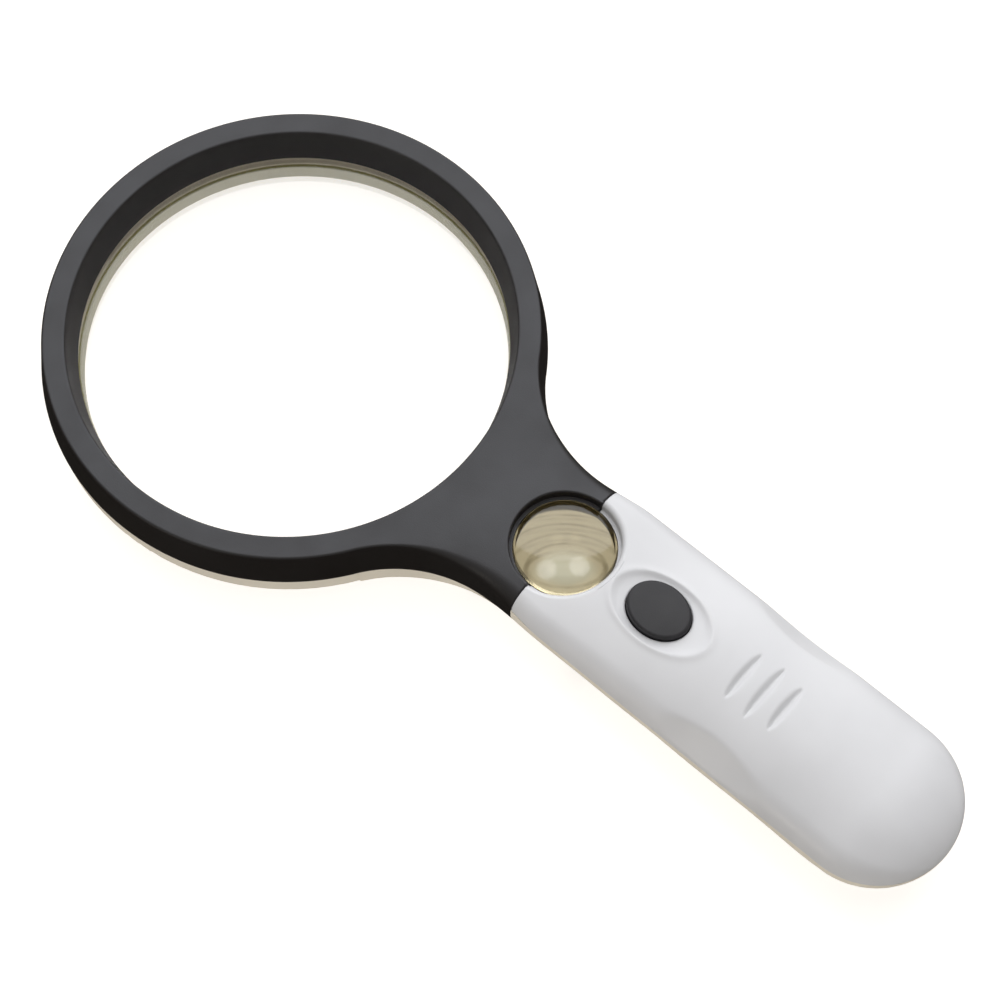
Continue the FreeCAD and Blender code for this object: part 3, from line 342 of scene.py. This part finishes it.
class Station:
    """The cross-section of the neck and the grip at one place along them."""

    def __init__(self, x):
        along = min(max(x, NECK_START), TAIL_X)
        grip = ease(along, GRIP_START, GRIP_FULL)
        swell = max(NECK_END - along, 0.0)
        self.half_width = mid(NECK_HALF_WIDTH, HALF_WIDTH, ease(along, NECK_END, GRIP_WIDE))
        self.half_width += NECK_FILLET - math.sqrt(NECK_FILLET ** 2 - swell ** 2)
        upright = ease(along, GRIP_START, UPRIGHT)
        self.draft = DRAFT * (1 - upright)
        self.base_edge = mid(NECK_BASE_EDGE, GRIP_BASE_EDGE, upright)
        self.waist = mid(NECK_SHOULDER_Z, GRIP_SHOULDER_Z, grip)
        self.top = FACE_Z + (CROWN_Z - FACE_Z) * ease(along, RISE_START, CROWN_X)
        self.top -= TAIL_DROP * (max(along - CROWN_X, 0.0) / (TAIL_X - CROWN_X)) ** 2
        share = mid(1.0, SHOULDER_SHARE, ease(along, NECK_START, SHOULDER_FULL))
        rise = self.top - self.waist
        self.shoulder = rise * share
        lean = math.tan(self.draft)
        self.inset = (self.shoulder + self.waist * math.sin(self.draft)) / math.cos(self.draft)
        self.inset -= RING_PARTING_Z * lean
        across = self.half_width - self.inset
        slack = rise - self.shoulder
        self.crown = None
        self.to_crown = math.pi / 2
        if slack > FLAT_UNDER:
            self.crown = (across ** 2 + rise ** 2 - self.shoulder ** 2) / (2 * slack)
            self.to_crown = math.atan2(self.waist - self.top + self.crown, across)
        self.shrink = 1.0
        if x > TAIL_X:
            self.shrink = math.sqrt(max(1 - ((x - TAIL_X) / HALF_WIDTH) ** 2, 0.0))

    def fall(self, across):
        """Give how far the crown has dropped at this distance from the middle."""
        return self.crown - math.sqrt(self.crown ** 2 - across ** 2) if self.crown else 0.0

    def lean_at(self, z):
        """Give how far in the side stands at a height, where it may already round off to the back."""
        inset = (z - RING_PARTING_Z) * math.tan(self.draft)
        under = max(self.base_edge - z, 0.0)
        return inset + self.base_edge - math.sqrt(self.base_edge ** 2 - under ** 2)

    def side(self, parting_z, side_rows, shoulder_rows):
        """Give the side's (inset, height) points, up from the parting line and round the shoulder."""
        lip = EDGE_SOFTNESS
        points = [(self.lean_at(parting_z) + lip, parting_z)]
        top_z = self.waist + self.shoulder * math.sin(self.draft)
        for row in range(side_rows):
            z = mid(parting_z + lip, top_z, row / side_rows)
            points.append((self.lean_at(z), z))
        for row in range(shoulder_rows + 1):
            angle = mid(self.draft, self.to_crown, row / shoulder_rows)
            points.append((self.inset - self.shoulder * math.cos(angle),
                           self.waist + self.shoulder * math.sin(angle)))
        return points


def crown_z(x, y):
    """Give the height of the plain crown over a point."""
    here = Station(x)
    if here.shrink < TIP_UNDER:
        return here.waist
    across = min(abs(y) / here.shrink, HALF_WIDTH + NECK_FILLET)
    return here.waist + (here.top - here.fall(across) - here.waist) * here.shrink


def edge_row(foot, outward, parting_z, side_rows, shoulder_rows):
    """Give the points from the parting line over the shoulder, for one place on the outline."""
    here = Station(foot.x)
    row = []
    for inset, z in here.side(parting_z, side_rows, shoulder_rows):
        place = foot - outward * inset * here.shrink
        across = here.half_width - inset
        drop = (here.top - here.fall(across) - z) * here.shrink
        row.append(Vector((place.x, place.y, crown_z(place.x, place.y) - drop)))
    return row


def inner_row(start, goal, count):
    """Give the points that lead over the crown from a shoulder to the inner edge."""
    row = []
    for step in range(1, count + 1):
        place = mid(Vector((start.x, start.y)), goal, step / count)
        row.append(Vector((place.x, place.y, crown_z(place.x, place.y))))
    return row


def on_circle(centre_x, radius, angle):
    """Give a plan point on a circle round a point of the middle line."""
    return Vector((centre_x + radius * math.cos(angle), radius * math.sin(angle)))


def steps(count, first=0):
    """Give shares from 0 to 1, leaving out the first one where it would repeat the last."""
    return [index / count for index in range(first, count + 1)]


# ---------------------------------------------------------------- meshes

WELD_WITHIN = 0.002 * MM      # points closer than this become one
SLIVER_UNDER = 0.001 * MM     # and edges shorter than this go


def make_piece(name, points, faces, sharp_degrees=38.0):
    """Make a smooth-shaded object from points in millimetres, welded, with its normals outward."""
    mesh = bpy.data.meshes.new(name)
    mesh.from_pydata([Vector(point) * MM for point in points], [], faces)
    form = bmesh.new()
    form.from_mesh(mesh)
    bmesh.ops.remove_doubles(form, verts=form.verts, dist=WELD_WITHIN)
    bmesh.ops.dissolve_degenerate(form, edges=form.edges, dist=SLIVER_UNDER)
    bmesh.ops.recalc_face_normals(form, faces=form.faces)
    form.to_mesh(mesh)
    form.free()
    mesh.shade_smooth()
    mesh.set_sharp_from_angle(angle=math.radians(sharp_degrees))
    piece = bpy.data.objects.new(name, mesh)
    bpy.context.scene.collection.objects.link(piece)
    return piece


class Surface:
    """Collects grids of points into one mesh."""

    def __init__(self):
        self.points = []
        self.faces = []

    def grid(self, rows):
        """Add a grid of equally long rows, and its mirror image across the middle plane."""
        for sign in (1, -1):
            base = len(self.points)
            width = len(rows[0])
            for row in rows:
                self.points += [(point[0], point[1] * sign, point[2]) for point in row]
            for across in range(len(rows) - 1):
                for along in range(width - 1):
                    a = base + across * width + along
                    quad = (a, a + 1, a + 1 + width, a + width)
                    self.faces.append(quad if sign > 0 else quad[::-1])

    def shell(self, name, wall):
        """Make the object with its faces upward, and a wall of this thickness on its inner side."""
        piece = make_piece(name, self.points, self.faces)
        tilt = sum(face.normal.z * face.area for face in piece.data.polygons)
        if tilt <= 0:
            piece.data.flip_normals()
        solid = piece.modifiers.new("wall", "SOLIDIFY")
        solid.thickness = wall * MM
        solid.offset = -1
        return piece


def lathe(name, profile, centre_x, segments=160, stretch=(1.0, 1.0)):
    """Turn a closed outline of (radius, height) points about an upright axis on the middle line."""
    points = []
    faces = []
    count = len(profile)
    for index in range(segments):
        angle = 2 * math.pi * index / segments
        for radius, z in profile:
            points.append((centre_x + radius * math.cos(angle) * stretch[0],
                           radius * math.sin(angle) * stretch[1], z))
    for index in range(segments):
        after = (index + 1) % segments
        for step in range(count):
            following = (step + 1) % count
            corners = [index * count + step, after * count + step,
                       after * count + following, index * count + following]
            faces.append(corners)
    return make_piece(name, points, faces)


def finish_piece(piece, slot, body, *replaced, look=None):
    """Give a piece its material and its body, and hide the CAD nodes that it stands for."""
    dress(piece, look or slot)
    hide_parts(*replaced)
    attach(piece, body)
    return piece


# ---------------------------------------------------------------- black frame

MOUTH_TOP, MOUTH_LOW = 38.9, 37.5            # radius of the ring's mouth, at the face and at the lip
LIP_Z = 6.7                   # under side of the lip that holds the large lens
LIP_CHAMFER = 0.15
SEAT_RADIUS = 9.35            # the small lens's recess
SEAT_FLOOR_Z = 11.5
SEAT_SKIRT = 1.5              # how far the hole under the recess is drawn down
EYE_HOLE = 8.8                # radius of that hole
BORDER_GAP = 0.1              # half the slit between the black frame and the white shell
BROAD, NARROW = math.radians(50), math.radians(27)   # the rows fan out over the neck between these
TURN_OUT, LAST_TURN = math.radians(238), math.radians(256)   # places along the neck's fillet
RING_STEPS, FAN_STEPS, NECK_STEPS, BRIDGE_STEPS, SEAT_STEPS = 120, 16, 26, 14, 36


def mouth_row(angle):
    """Give the points down the inner wall of the ring's mouth, from its rounded edge."""
    lean = (MOUTH_TOP - MOUTH_LOW) / (FACE_Z - LIP_Z)
    profile = []
    for share in steps(4):
        turn = share * math.pi / 2
        radius = MOUTH_TOP + LIP_ROUND * (1 - math.sin(turn))
        profile.append((radius - lean * LIP_ROUND * share, FACE_Z - LIP_ROUND * (1 - math.cos(turn))))
    for share in steps(6, 1):
        radius = mid(MOUTH_TOP - lean * LIP_ROUND, MOUTH_LOW, share)
        profile.append((radius, mid(FACE_Z - LIP_ROUND, LIP_Z, share)))
    profile.append((MOUTH_LOW + LIP_CHAMFER, LIP_Z - LIP_CHAMFER))
    profile.append((MOUTH_TOP, LIP_Z - LIP_CHAMFER))
    return [(*on_circle(RING_X, radius, angle), z) for radius, z in profile]


def seat_row(angle, lip):
    """Give the points over the rounded lip of the small lens's seat, down into it and across its floor."""
    top = on_circle(EYE_X, SEAT_RADIUS + lip, angle)
    edge_z = crown_z(top.x, top.y)
    row = []
    for share in steps(6):
        turn = share * math.pi / 2
        place = on_circle(EYE_X, SEAT_RADIUS + lip * (1 - math.sin(turn)), angle)
        row.append((place.x, place.y, edge_z - lip * (1 - math.cos(turn))))
    for share in steps(4, 1):
        place = on_circle(EYE_X, SEAT_RADIUS, angle)
        row.append((place.x, place.y, mid(edge_z - lip, SEAT_FLOOR_Z, share)))
    for z in (SEAT_FLOOR_Z, SEAT_FLOOR_Z - SEAT_SKIRT):
        row.append((*on_circle(EYE_X, EYE_HOLE, angle), z))
    return row


def make_black_frame():
    """Make the ring and the front of the neck as one smooth skin, with the mouth and the lens seat."""
    rows = []
    mouth = MOUTH_TOP + LIP_ROUND
    seat = SEAT_RADIUS + LIP_ROUND
    border = EYE_X - BORDER_GAP
    border_angle = math.pi / 2 + math.asin(BORDER_GAP / seat)
    pivot = Vector((NECK_END, NECK_HALF_WIDTH + NECK_FILLET))

    def ring_foot(angle):
        outward = Vector((math.cos(angle), math.sin(angle)))
        return on_circle(RING_X, RING_RADIUS, angle), outward

    def neck_foot(turn):
        outward = -Vector((math.cos(turn), math.sin(turn)))
        return pivot - outward * NECK_FILLET, outward

    def add(foot, outward, goal):
        row = edge_row(foot, outward, RING_PARTING_Z, side_rows=6, shoulder_rows=8)
        rows.append(row + inner_row(row[-1], goal, count=16))

    ring_angles = [mid(math.pi, BROAD, share) for share in steps(RING_STEPS)]
    fan_angles = [mid(BROAD, NARROW, share) for share in steps(FAN_STEPS, 1)]
    neck_angles = [mid(NARROW, 0, share) for share in steps(NECK_STEPS, 1)]
    for angle in ring_angles:
        add(*ring_foot(angle), on_circle(RING_X, mouth, angle))
    for share, angle in zip(steps(FAN_STEPS, 1), fan_angles):
        add(*ring_foot(mid(BROAD, TANGENT, share)), on_circle(RING_X, mouth, angle))
    for share, angle in zip(steps(NECK_STEPS, 1), neck_angles):
        add(*neck_foot(mid(math.pi + TANGENT, TURN_OUT, share)), on_circle(RING_X, mouth, angle))
    for share in steps(BRIDGE_STEPS, 1):
        goal = Vector((mid(RING_X + mouth, EYE_X - seat, share), 0))
        add(*neck_foot(mid(TURN_OUT, LAST_TURN, share)), goal)
    turned_x = pivot.x + NECK_FILLET * math.cos(LAST_TURN)
    for share in steps(SEAT_STEPS, 1):
        x = mid(turned_x, border, share)
        goal = on_circle(EYE_X, seat, mid(math.pi, border_angle, share))
        if x < NECK_END:
            add(*neck_foot(1.5 * math.pi - math.asin((NECK_END - x) / NECK_FILLET)), goal)
        else:
            add(Vector((x, Station(x).half_width)), Vector((0, 1)), goal)
    skin = Surface()
    skin.grid(rows)
    skin.grid([mouth_row(angle) for angle in ring_angles + fan_angles + neck_angles])
    skin.grid([seat_row(mid(math.pi, border_angle, share), LIP_ROUND) for share in steps(SEAT_STEPS)])
    return finish_piece(skin.shell("ring_frame", WALL), "black_shell", "housing", "front_ring_frame")


# ---------------------------------------------------------------- white front shell

# The oval dish round the button has a raised lip, which is lip high and fades out over lip_reach.
DISH = {"x": 33.5, "half_length": 9.6, "half_width": 6.0, "depth": 0.9, "lip": 0.17, "lip_reach": 0.1}
GROOVES = ((50.5, 4.7), (54.8, 5.3), (59.0, 4.5))    # each thumb groove's place and half length
GROOVE_HALF_WIDTH = 1.0
GROOVE_DEPTH = 0.62
GROOVE_SHARPNESS = 2.2
GROOVE_ENDS = 0.02            # a groove is left out where it has tapered to this share
# Each finger scallop is a leaning cylinder, deepest at this point, whose edges are softened a little.
# At more than all_in softnesses a point is pressed in fully.
SCALLOP = {"x": 54.1, "y": 12.2, "z": 13.1, "radius": 50.0, "lean": math.radians(37.8), "soft": 0.12,
           "all_in": 60.0}
KNOB_FROM, KNOB_TO = 26.6, 39.4              # the rows end on the button's hole between these
SEAT_TO = 24.0                               # and on the small lens's seat before this
PLAIN_TO = 64.0                              # and lie close together up to here, for the grooves
HOLE_SKIRT = 1.6                             # how far the wall of the button's hole is drawn down
GAP_STEPS, HOLE_STEPS, GROOVE_STEPS, PLAIN_STEPS, TAIL_STEPS = 12, 56, 110, 28, 44


def hollow_depth(x, y):
    """Give how deep the dish and the thumb grooves are at a point of the crown."""
    reach = math.hypot((x - DISH["x"]) / DISH["half_length"], y / DISH["half_width"])
    depth = DISH["depth"] * max(1 - reach ** 4, 0.0)
    depth -= DISH["lip"] * math.exp(-((reach - 1) / DISH["lip_reach"]) ** 2)
    for place, length in GROOVES:
        taper = math.sqrt(max(1 - (y / length) ** 2, 0.0))
        if taper > GROOVE_ENDS:
            offset = (x - place) / (GROOVE_HALF_WIDTH * taper)
            depth += GROOVE_DEPTH * taper * math.exp(-GROOVE_SHARPNESS * offset ** 2)
    return depth


def scalloped(point):
    """Press a point in by the large leaning cylinder that hollows the shoulder."""
    outward = Vector((0, math.cos(SCALLOP["lean"]), math.sin(SCALLOP["lean"])))
    offset = point.x - SCALLOP["x"]
    radius = SCALLOP["radius"]
    limit = radius - math.sqrt(radius ** 2 - min(abs(offset), radius) ** 2)
    proud = (point - Vector((SCALLOP["x"], SCALLOP["y"], SCALLOP["z"]))).dot(outward) - limit
    soft = SCALLOP["soft"]
    push = soft * math.log1p(math.exp(min(proud / soft, SCALLOP["all_in"])))
    return point - outward * push


def make_white_shell():
    """Make the grip's front shell, with the lens seat, the button's dish, grooves and scallops."""
    seat = SEAT_RADIUS + SOFT_LIP
    border = EYE_X + BORDER_GAP
    border_angle = math.acos(BORDER_GAP / seat)
    hole = [half + KNOB_GAP + LIP_ROUND for half in KNOB_HALF]
    rows = []

    def add(x, goal):
        foot = Vector((x, Station(x).half_width * Station(x).shrink))
        row = edge_row(foot, Vector((0, 1)), GRIP_PARTING_Z, side_rows=1, shoulder_rows=20)
        row += inner_row(row[-1], goal, count=34)
        pressed = [scalloped(point) for point in row]
        rows.append([point - Vector((0, 0, hollow_depth(point.x, point.y))) for point in pressed])

    def hole_point(angle, shrink=0.0):
        return Vector((KNOB_X + (hole[0] - shrink) * math.cos(angle), (hole[1] - shrink) * math.sin(angle)))

    for share in steps(SEAT_STEPS):
        add(mid(border, SEAT_TO, share), on_circle(EYE_X, seat, mid(border_angle, 0, share)))
    for share in steps(GAP_STEPS, 1):
        add(mid(SEAT_TO, KNOB_FROM, share), Vector((mid(EYE_X + seat, KNOB_X - hole[0], share), 0)))
    for share in steps(HOLE_STEPS, 1):
        add(mid(KNOB_FROM, KNOB_TO, share), hole_point(mid(math.pi, 0, share)))
    for share in steps(GROOVE_STEPS, 1):
        add(mid(KNOB_TO, PLAIN_TO, share), Vector((mid(KNOB_X + hole[0], PLAIN_TO, share), 0)))
    for share in steps(PLAIN_STEPS, 1):
        x = mid(PLAIN_TO, TAIL_X, share)
        add(x, Vector((x, 0)))
    for share in steps(TAIL_STEPS, 1):
        x = TAIL_X + HALF_WIDTH * math.sin(share * math.pi / 2)
        add(x, Vector((x, 0)))
    skin = Surface()
    skin.grid(rows)
    skin.grid([seat_row(mid(border_angle, 0, share), SOFT_LIP) for share in steps(SEAT_STEPS)])
    rim = []
    for share in steps(HOLE_STEPS):
        angle = mid(math.pi, 0, share)
        top = hole_point(angle)
        edge_z = crown_z(top.x, top.y) - hollow_depth(top.x, top.y)
        row = []
        for bend in steps(4):
            turn = bend * math.pi / 2
            place = hole_point(angle, LIP_ROUND * math.sin(turn))
            row.append((place.x, place.y, edge_z - LIP_ROUND * (1 - math.cos(turn))))
        row.append((row[-1][0], row[-1][1], edge_z - LIP_ROUND - HOLE_SKIRT))
        rim.append(row)
    skin.grid(rim)
    return finish_piece(skin.shell("grip_shell", WALL), "white_shell", "housing", "handle_front_shell")


# ---------------------------------------------------------------- turned pieces

FRONT_SAG, REAR_SAG, RIM_BEVEL = 4.6, 3.2, 0.3            # the large lens
EYE_FRONT_SAG, EYE_REAR_SAG, EYE_BEVEL = 1.5, 1.6, 0.4    # the small lens
KNOB_EDGE = 0.55              # rounding of the button's edge
KNOB_DOME = 0.32              # height of its dome
KNOB_FLANGE = 1.0             # thickness of the flange that keeps it in
KNOB_SPREAD = 1.1             # how much wider the flange is
RETURN_WIRE = 0.4             # the return spring's wire
RETURN_TURNS = 2.5
TUBE_BORE = 7.8               # the small lens's tube
TUBE_MOUTH = 8.2
TUBE_BEVEL = 0.4
TUBE_FOOT_BEVEL = 0.3
TUBE_STEPS = 7                # its inside steps,
STEPS_FROM, STEPS_TO = 0.6, 0.4              # from below its top to above its foot
STEP_DEPTH = 0.28
STEP_BEVEL = 0.25
STEP_CREST, STEP_BACK = 0.5, 0.62            # shares of a step's height where it goes back and is back
COIL_RINGS, COIL_SIDES = 180, 12


def cap(radius, sag, z, rising):
    """Give a dome's points from the axis to its rim, which is at height z."""
    size = (radius ** 2 + sag ** 2) / (2 * sag)
    points = []
    for share in steps(28):
        reach = radius * math.sin(share * math.pi / 2)
        points.append((reach, z + (math.sqrt(size ** 2 - reach ** 2) - size + sag) * rising))
    return points


def make_lens(name, node, front_sag, rear_sag, edge, segments):
    """Turn a lens whose rim has small polished bevels."""
    low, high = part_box(node)
    radius = (high.x - low.x) / 2 / MM
    rim_top, rim_low = high.z / MM - front_sag, low.z / MM + rear_sag
    profile = cap(radius - edge, front_sag, rim_top, 1)
    profile += [(radius, rim_top - edge), (radius, rim_low + edge)]
    profile += cap(radius - edge, rear_sag, rim_low, -1)[::-1]
    return lathe(name, profile, (low.x + high.x) / 2 / MM, segments)


def make_knob():
    """Make the button's soft cap, gently domed with a rounded edge."""
    low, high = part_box("power_button")
    top, foot = high.z / MM, low.z / MM
    half_length, half_width = KNOB_HALF
    edge_share = KNOB_EDGE / half_width
    profile = []
    for share in steps(24):
        reach = (1 - edge_share) * share
        profile.append((reach, top - KNOB_DOME * reach ** 2))
    shoulder_z = profile[-1][1]
    for share in steps(8, 1):
        turn = share * math.pi / 2
        profile.append((1 - edge_share * (1 - math.sin(turn)),
                        shoulder_z - KNOB_EDGE * (1 - math.cos(turn))))
    flange_z = foot + KNOB_FLANGE
    profile += [(1.0, flange_z), (KNOB_SPREAD, flange_z), (KNOB_SPREAD, foot), (0.0, foot)]
    knob_piece = lathe("button_cap", profile, KNOB_X, 160, (half_length, half_width))
    return finish_piece(knob_piece, "button", "button", "power_button")


def make_lenses():
    """Turn the large and the small lens."""
    big = make_lens("reading_lens", "main_lens", FRONT_SAG, REAR_SAG, RIM_BEVEL, 256)
    finish_piece(big, "lens", "housing", "main_lens")
    small = make_lens("spot_lens", "small_lens", EYE_FRONT_SAG, EYE_REAR_SAG, EYE_BEVEL, 160)
    finish_piece(small, "lens", "housing", "small_lens", look="spot_lens")


def make_tube():
    """Turn the small lens's tube, with fine moulded steps down its inside; its tan colour is painted shade.
    """
    low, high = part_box("small_lens_barrel")
    top, foot = high.z / MM, low.z / MM
    outer = (high.x - low.x) / 2 / MM
    inner, crest = TUBE_BORE, TUBE_BORE - STEP_DEPTH
    profile = [(outer, foot), (outer, top), (TUBE_MOUTH, top), (inner, top - TUBE_BEVEL)]
    first_z, last_z = top - STEPS_FROM, foot + STEPS_TO
    drop = (first_z - last_z) / TUBE_STEPS
    for share in steps(TUBE_STEPS)[:-1]:
        z = mid(first_z, last_z, share)
        profile += [(inner, z), (crest, z - STEP_BEVEL)]
        profile += [(crest, z - drop * STEP_CREST), (inner, z - drop * STEP_BACK)]
    profile += [(inner, foot + TUBE_FOOT_BEVEL), (inner + TUBE_FOOT_BEVEL, foot)]
    return finish_piece(lathe("spot_tube", profile, EYE_X, 128), "barrel", "housing", "small_lens_barrel")


def make_return_spring():
    """Wind the button's return spring at its rest length; the real one flattens as the button goes down."""
    low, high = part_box("button_spring")
    thick = RETURN_WIRE / 2
    wound = (high.x - low.x) / 2 / MM - thick
    foot, top = low.z / MM + thick, high.z / MM - thick
    points, faces = [], []
    for share in steps(COIL_RINGS):
        turn = share * RETURN_TURNS * 2 * math.pi
        for side in range(COIL_SIDES):
            bend = side / COIL_SIDES * 2 * math.pi
            reach = wound + thick * math.cos(bend)
            height = mid(foot, top, share) + thick * math.sin(bend)
            points.append((KNOB_X + reach * math.cos(turn), reach * math.sin(turn), height))
    last = COIL_RINGS * COIL_SIDES
    for here in range(0, last, COIL_SIDES):
        after = here + COIL_SIDES
        for side in range(COIL_SIDES):
            beside = (side + 1) % COIL_SIDES
            faces.append((here + side, here + beside, after + beside, after + side))
    faces.append(tuple(range(COIL_SIDES)))
    faces.append(tuple(range(last, last + COIL_SIDES)))
    spring = make_piece("return_coil", points, faces, 60.0)
    finish_piece(spring, "spring_steel", "housing", "button_spring")
    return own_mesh(spring)


make_black_frame()
make_white_shell()
make_lenses()
make_tube()
make_knob()
make_return_spring()


# ---------------------------------------------------------------- camera, light and floor

VIEW_AZIMUTH = math.radians(40.96)
VIEW_ELEVATION = math.radians(66.33)
FOCAL_LENGTH = 93.6           # millimetres, on the usual 36 mm sensor
RING_DEPTH = 0.4459           # from the camera to the ring's face, along the view
RING_LEFT = 0.0357            # how far the ring's middle stands left of the view's middle
RING_UP = 0.0296              # and above it
FLOOR_SIDE = 6.0
FLOOR_DROP = 0.05 * MM        # keeps the floor just clear of the back
FLOOR_COLOUR = (0.38, 0.36, 0.34, 1)
FLOOR_ROUGHNESS = 0.9
FLOOR_GLOW = (1, 0.985, 0.955, 1)
FLOOR_GLOW_STRENGTH = 0.8
ROOM_STRENGTH = 0.45
ROOM_LOW = (0.08, (0.02, 0.018, 0.015, 1))   # the room's colour below this height, and above the next
ROOM_HIGH = (0.42, (1, 0.985, 0.965, 1))
# Each light: its name, metres to the right, to the back and up, its width in metres, watts and colour.
LIGHTS = (
    ("key", 0.02, 1.25, 1.15, 2.8, 41.5, (0.96, 0.975, 1.0)),
    ("left_lamp", -0.36, 0.02, 1.5, 0.44, 1.75, (1.0, 0.99, 0.97)),
    ("right_lamp", 0.34, 0.08, 1.5, 0.44, 1.75, (1.0, 0.99, 0.97)),
    ("near_lamp", -0.7, -0.75, 0.03, 0.1, 0.9, (1.0, 0.92, 0.78)),
)


def aim_camera():
    """Look down at the magnifier from in front of the ring's near side."""
    camera = bpy.data.objects.new("camera", bpy.data.cameras.new("camera"))
    bpy.context.scene.collection.objects.link(camera)
    camera.data.lens = FOCAL_LENGTH
    camera.data.clip_start = 0.01
    flat = math.cos(VIEW_ELEVATION)
    forward = Vector((-math.sin(VIEW_AZIMUTH) * flat, math.cos(VIEW_AZIMUTH) * flat,
                      -math.sin(VIEW_ELEVATION)))
    right = Vector((math.cos(VIEW_AZIMUTH), math.sin(VIEW_AZIMUTH), 0))
    up = right.cross(forward)
    face = Vector((ring.x, ring.y, FACE_Z * MM))
    camera.location = face + right * RING_LEFT - up * RING_UP - forward * RING_DEPTH
    camera.rotation_mode = "QUATERNION"
    camera.rotation_quaternion = forward.to_track_quat("-Z", "Y")
    bpy.context.scene.camera = camera
    return right, up


def add_light(name, place, size, power, colour):
    """Hang a soft round light that faces the middle of the object."""
    light = bpy.data.objects.new(name, bpy.data.lights.new(name, "AREA"))
    light.data.shape = "DISK"
    light.data.size = size
    light.data.energy = power
    light.data.color = colour
    light.location = place
    light.rotation_mode = "QUATERNION"
    light.rotation_quaternion = (-Vector(place)).to_track_quat("-Z", "Y")
    bpy.context.scene.collection.objects.link(light)


def light_studio(right, up):
    """Light from behind, overhead and faintly from low in front, in a pale room that is dark low down."""
    away = up.copy()
    away.z = 0
    away.normalize()
    high = Vector((0, 0, 1))
    for name, to_right, to_back, upward, size, power, colour in LIGHTS:
        add_light(name, right * to_right + away * to_back + high * upward, size, power, colour)
    world = bpy.data.worlds.new("room")
    world.use_nodes = True
    tree = world.node_tree
    background = tree.nodes["Background"]
    background.inputs["Strength"].default_value = ROOM_STRENGTH
    height = tree.nodes.new("ShaderNodeSeparateXYZ")
    ramp = tree.nodes.new("ShaderNodeValToRGB")
    below, above = ramp.color_ramp.elements
    below.position, below.color = ROOM_LOW
    above.position, above.color = ROOM_HIGH
    tree.links.new(tree.nodes.new("ShaderNodeTexCoord").outputs["Generated"], height.inputs[0])
    tree.links.new(height.outputs["Z"], ramp.inputs["Fac"])
    tree.links.new(ramp.outputs["Color"], background.inputs["Color"])
    bpy.context.scene.world = world


def lay_floor():
    """Lay the plain pale floor that the magnifier rests on, which glows a little."""
    mesh = bpy.data.meshes.new("floor")
    half = FLOOR_SIDE / 2
    corners = [(-half, -half, 0), (half, -half, 0), (half, half, 0), (-half, half, 0)]
    mesh.from_pydata(corners, [], [(0, 1, 2, 3)])
    floor = bpy.data.objects.new("floor", mesh)
    floor.location.z = -FLOOR_DROP
    bpy.context.scene.collection.objects.link(floor)
    floor.visible_glossy = False
    shader = Shader("floor", FLOOR_COLOUR, FLOOR_ROUGHNESS)
    shader.surface.inputs["Emission Color"].default_value = FLOOR_GLOW
    shader.surface.inputs["Emission Strength"].default_value = FLOOR_GLOW_STRENGTH
    mesh.materials.append(shader.tint(0.4, 0.01).material)


light_studio(*aim_camera())
lay_floor()
bpy.context.scene.view_settings.view_transform = "Standard"
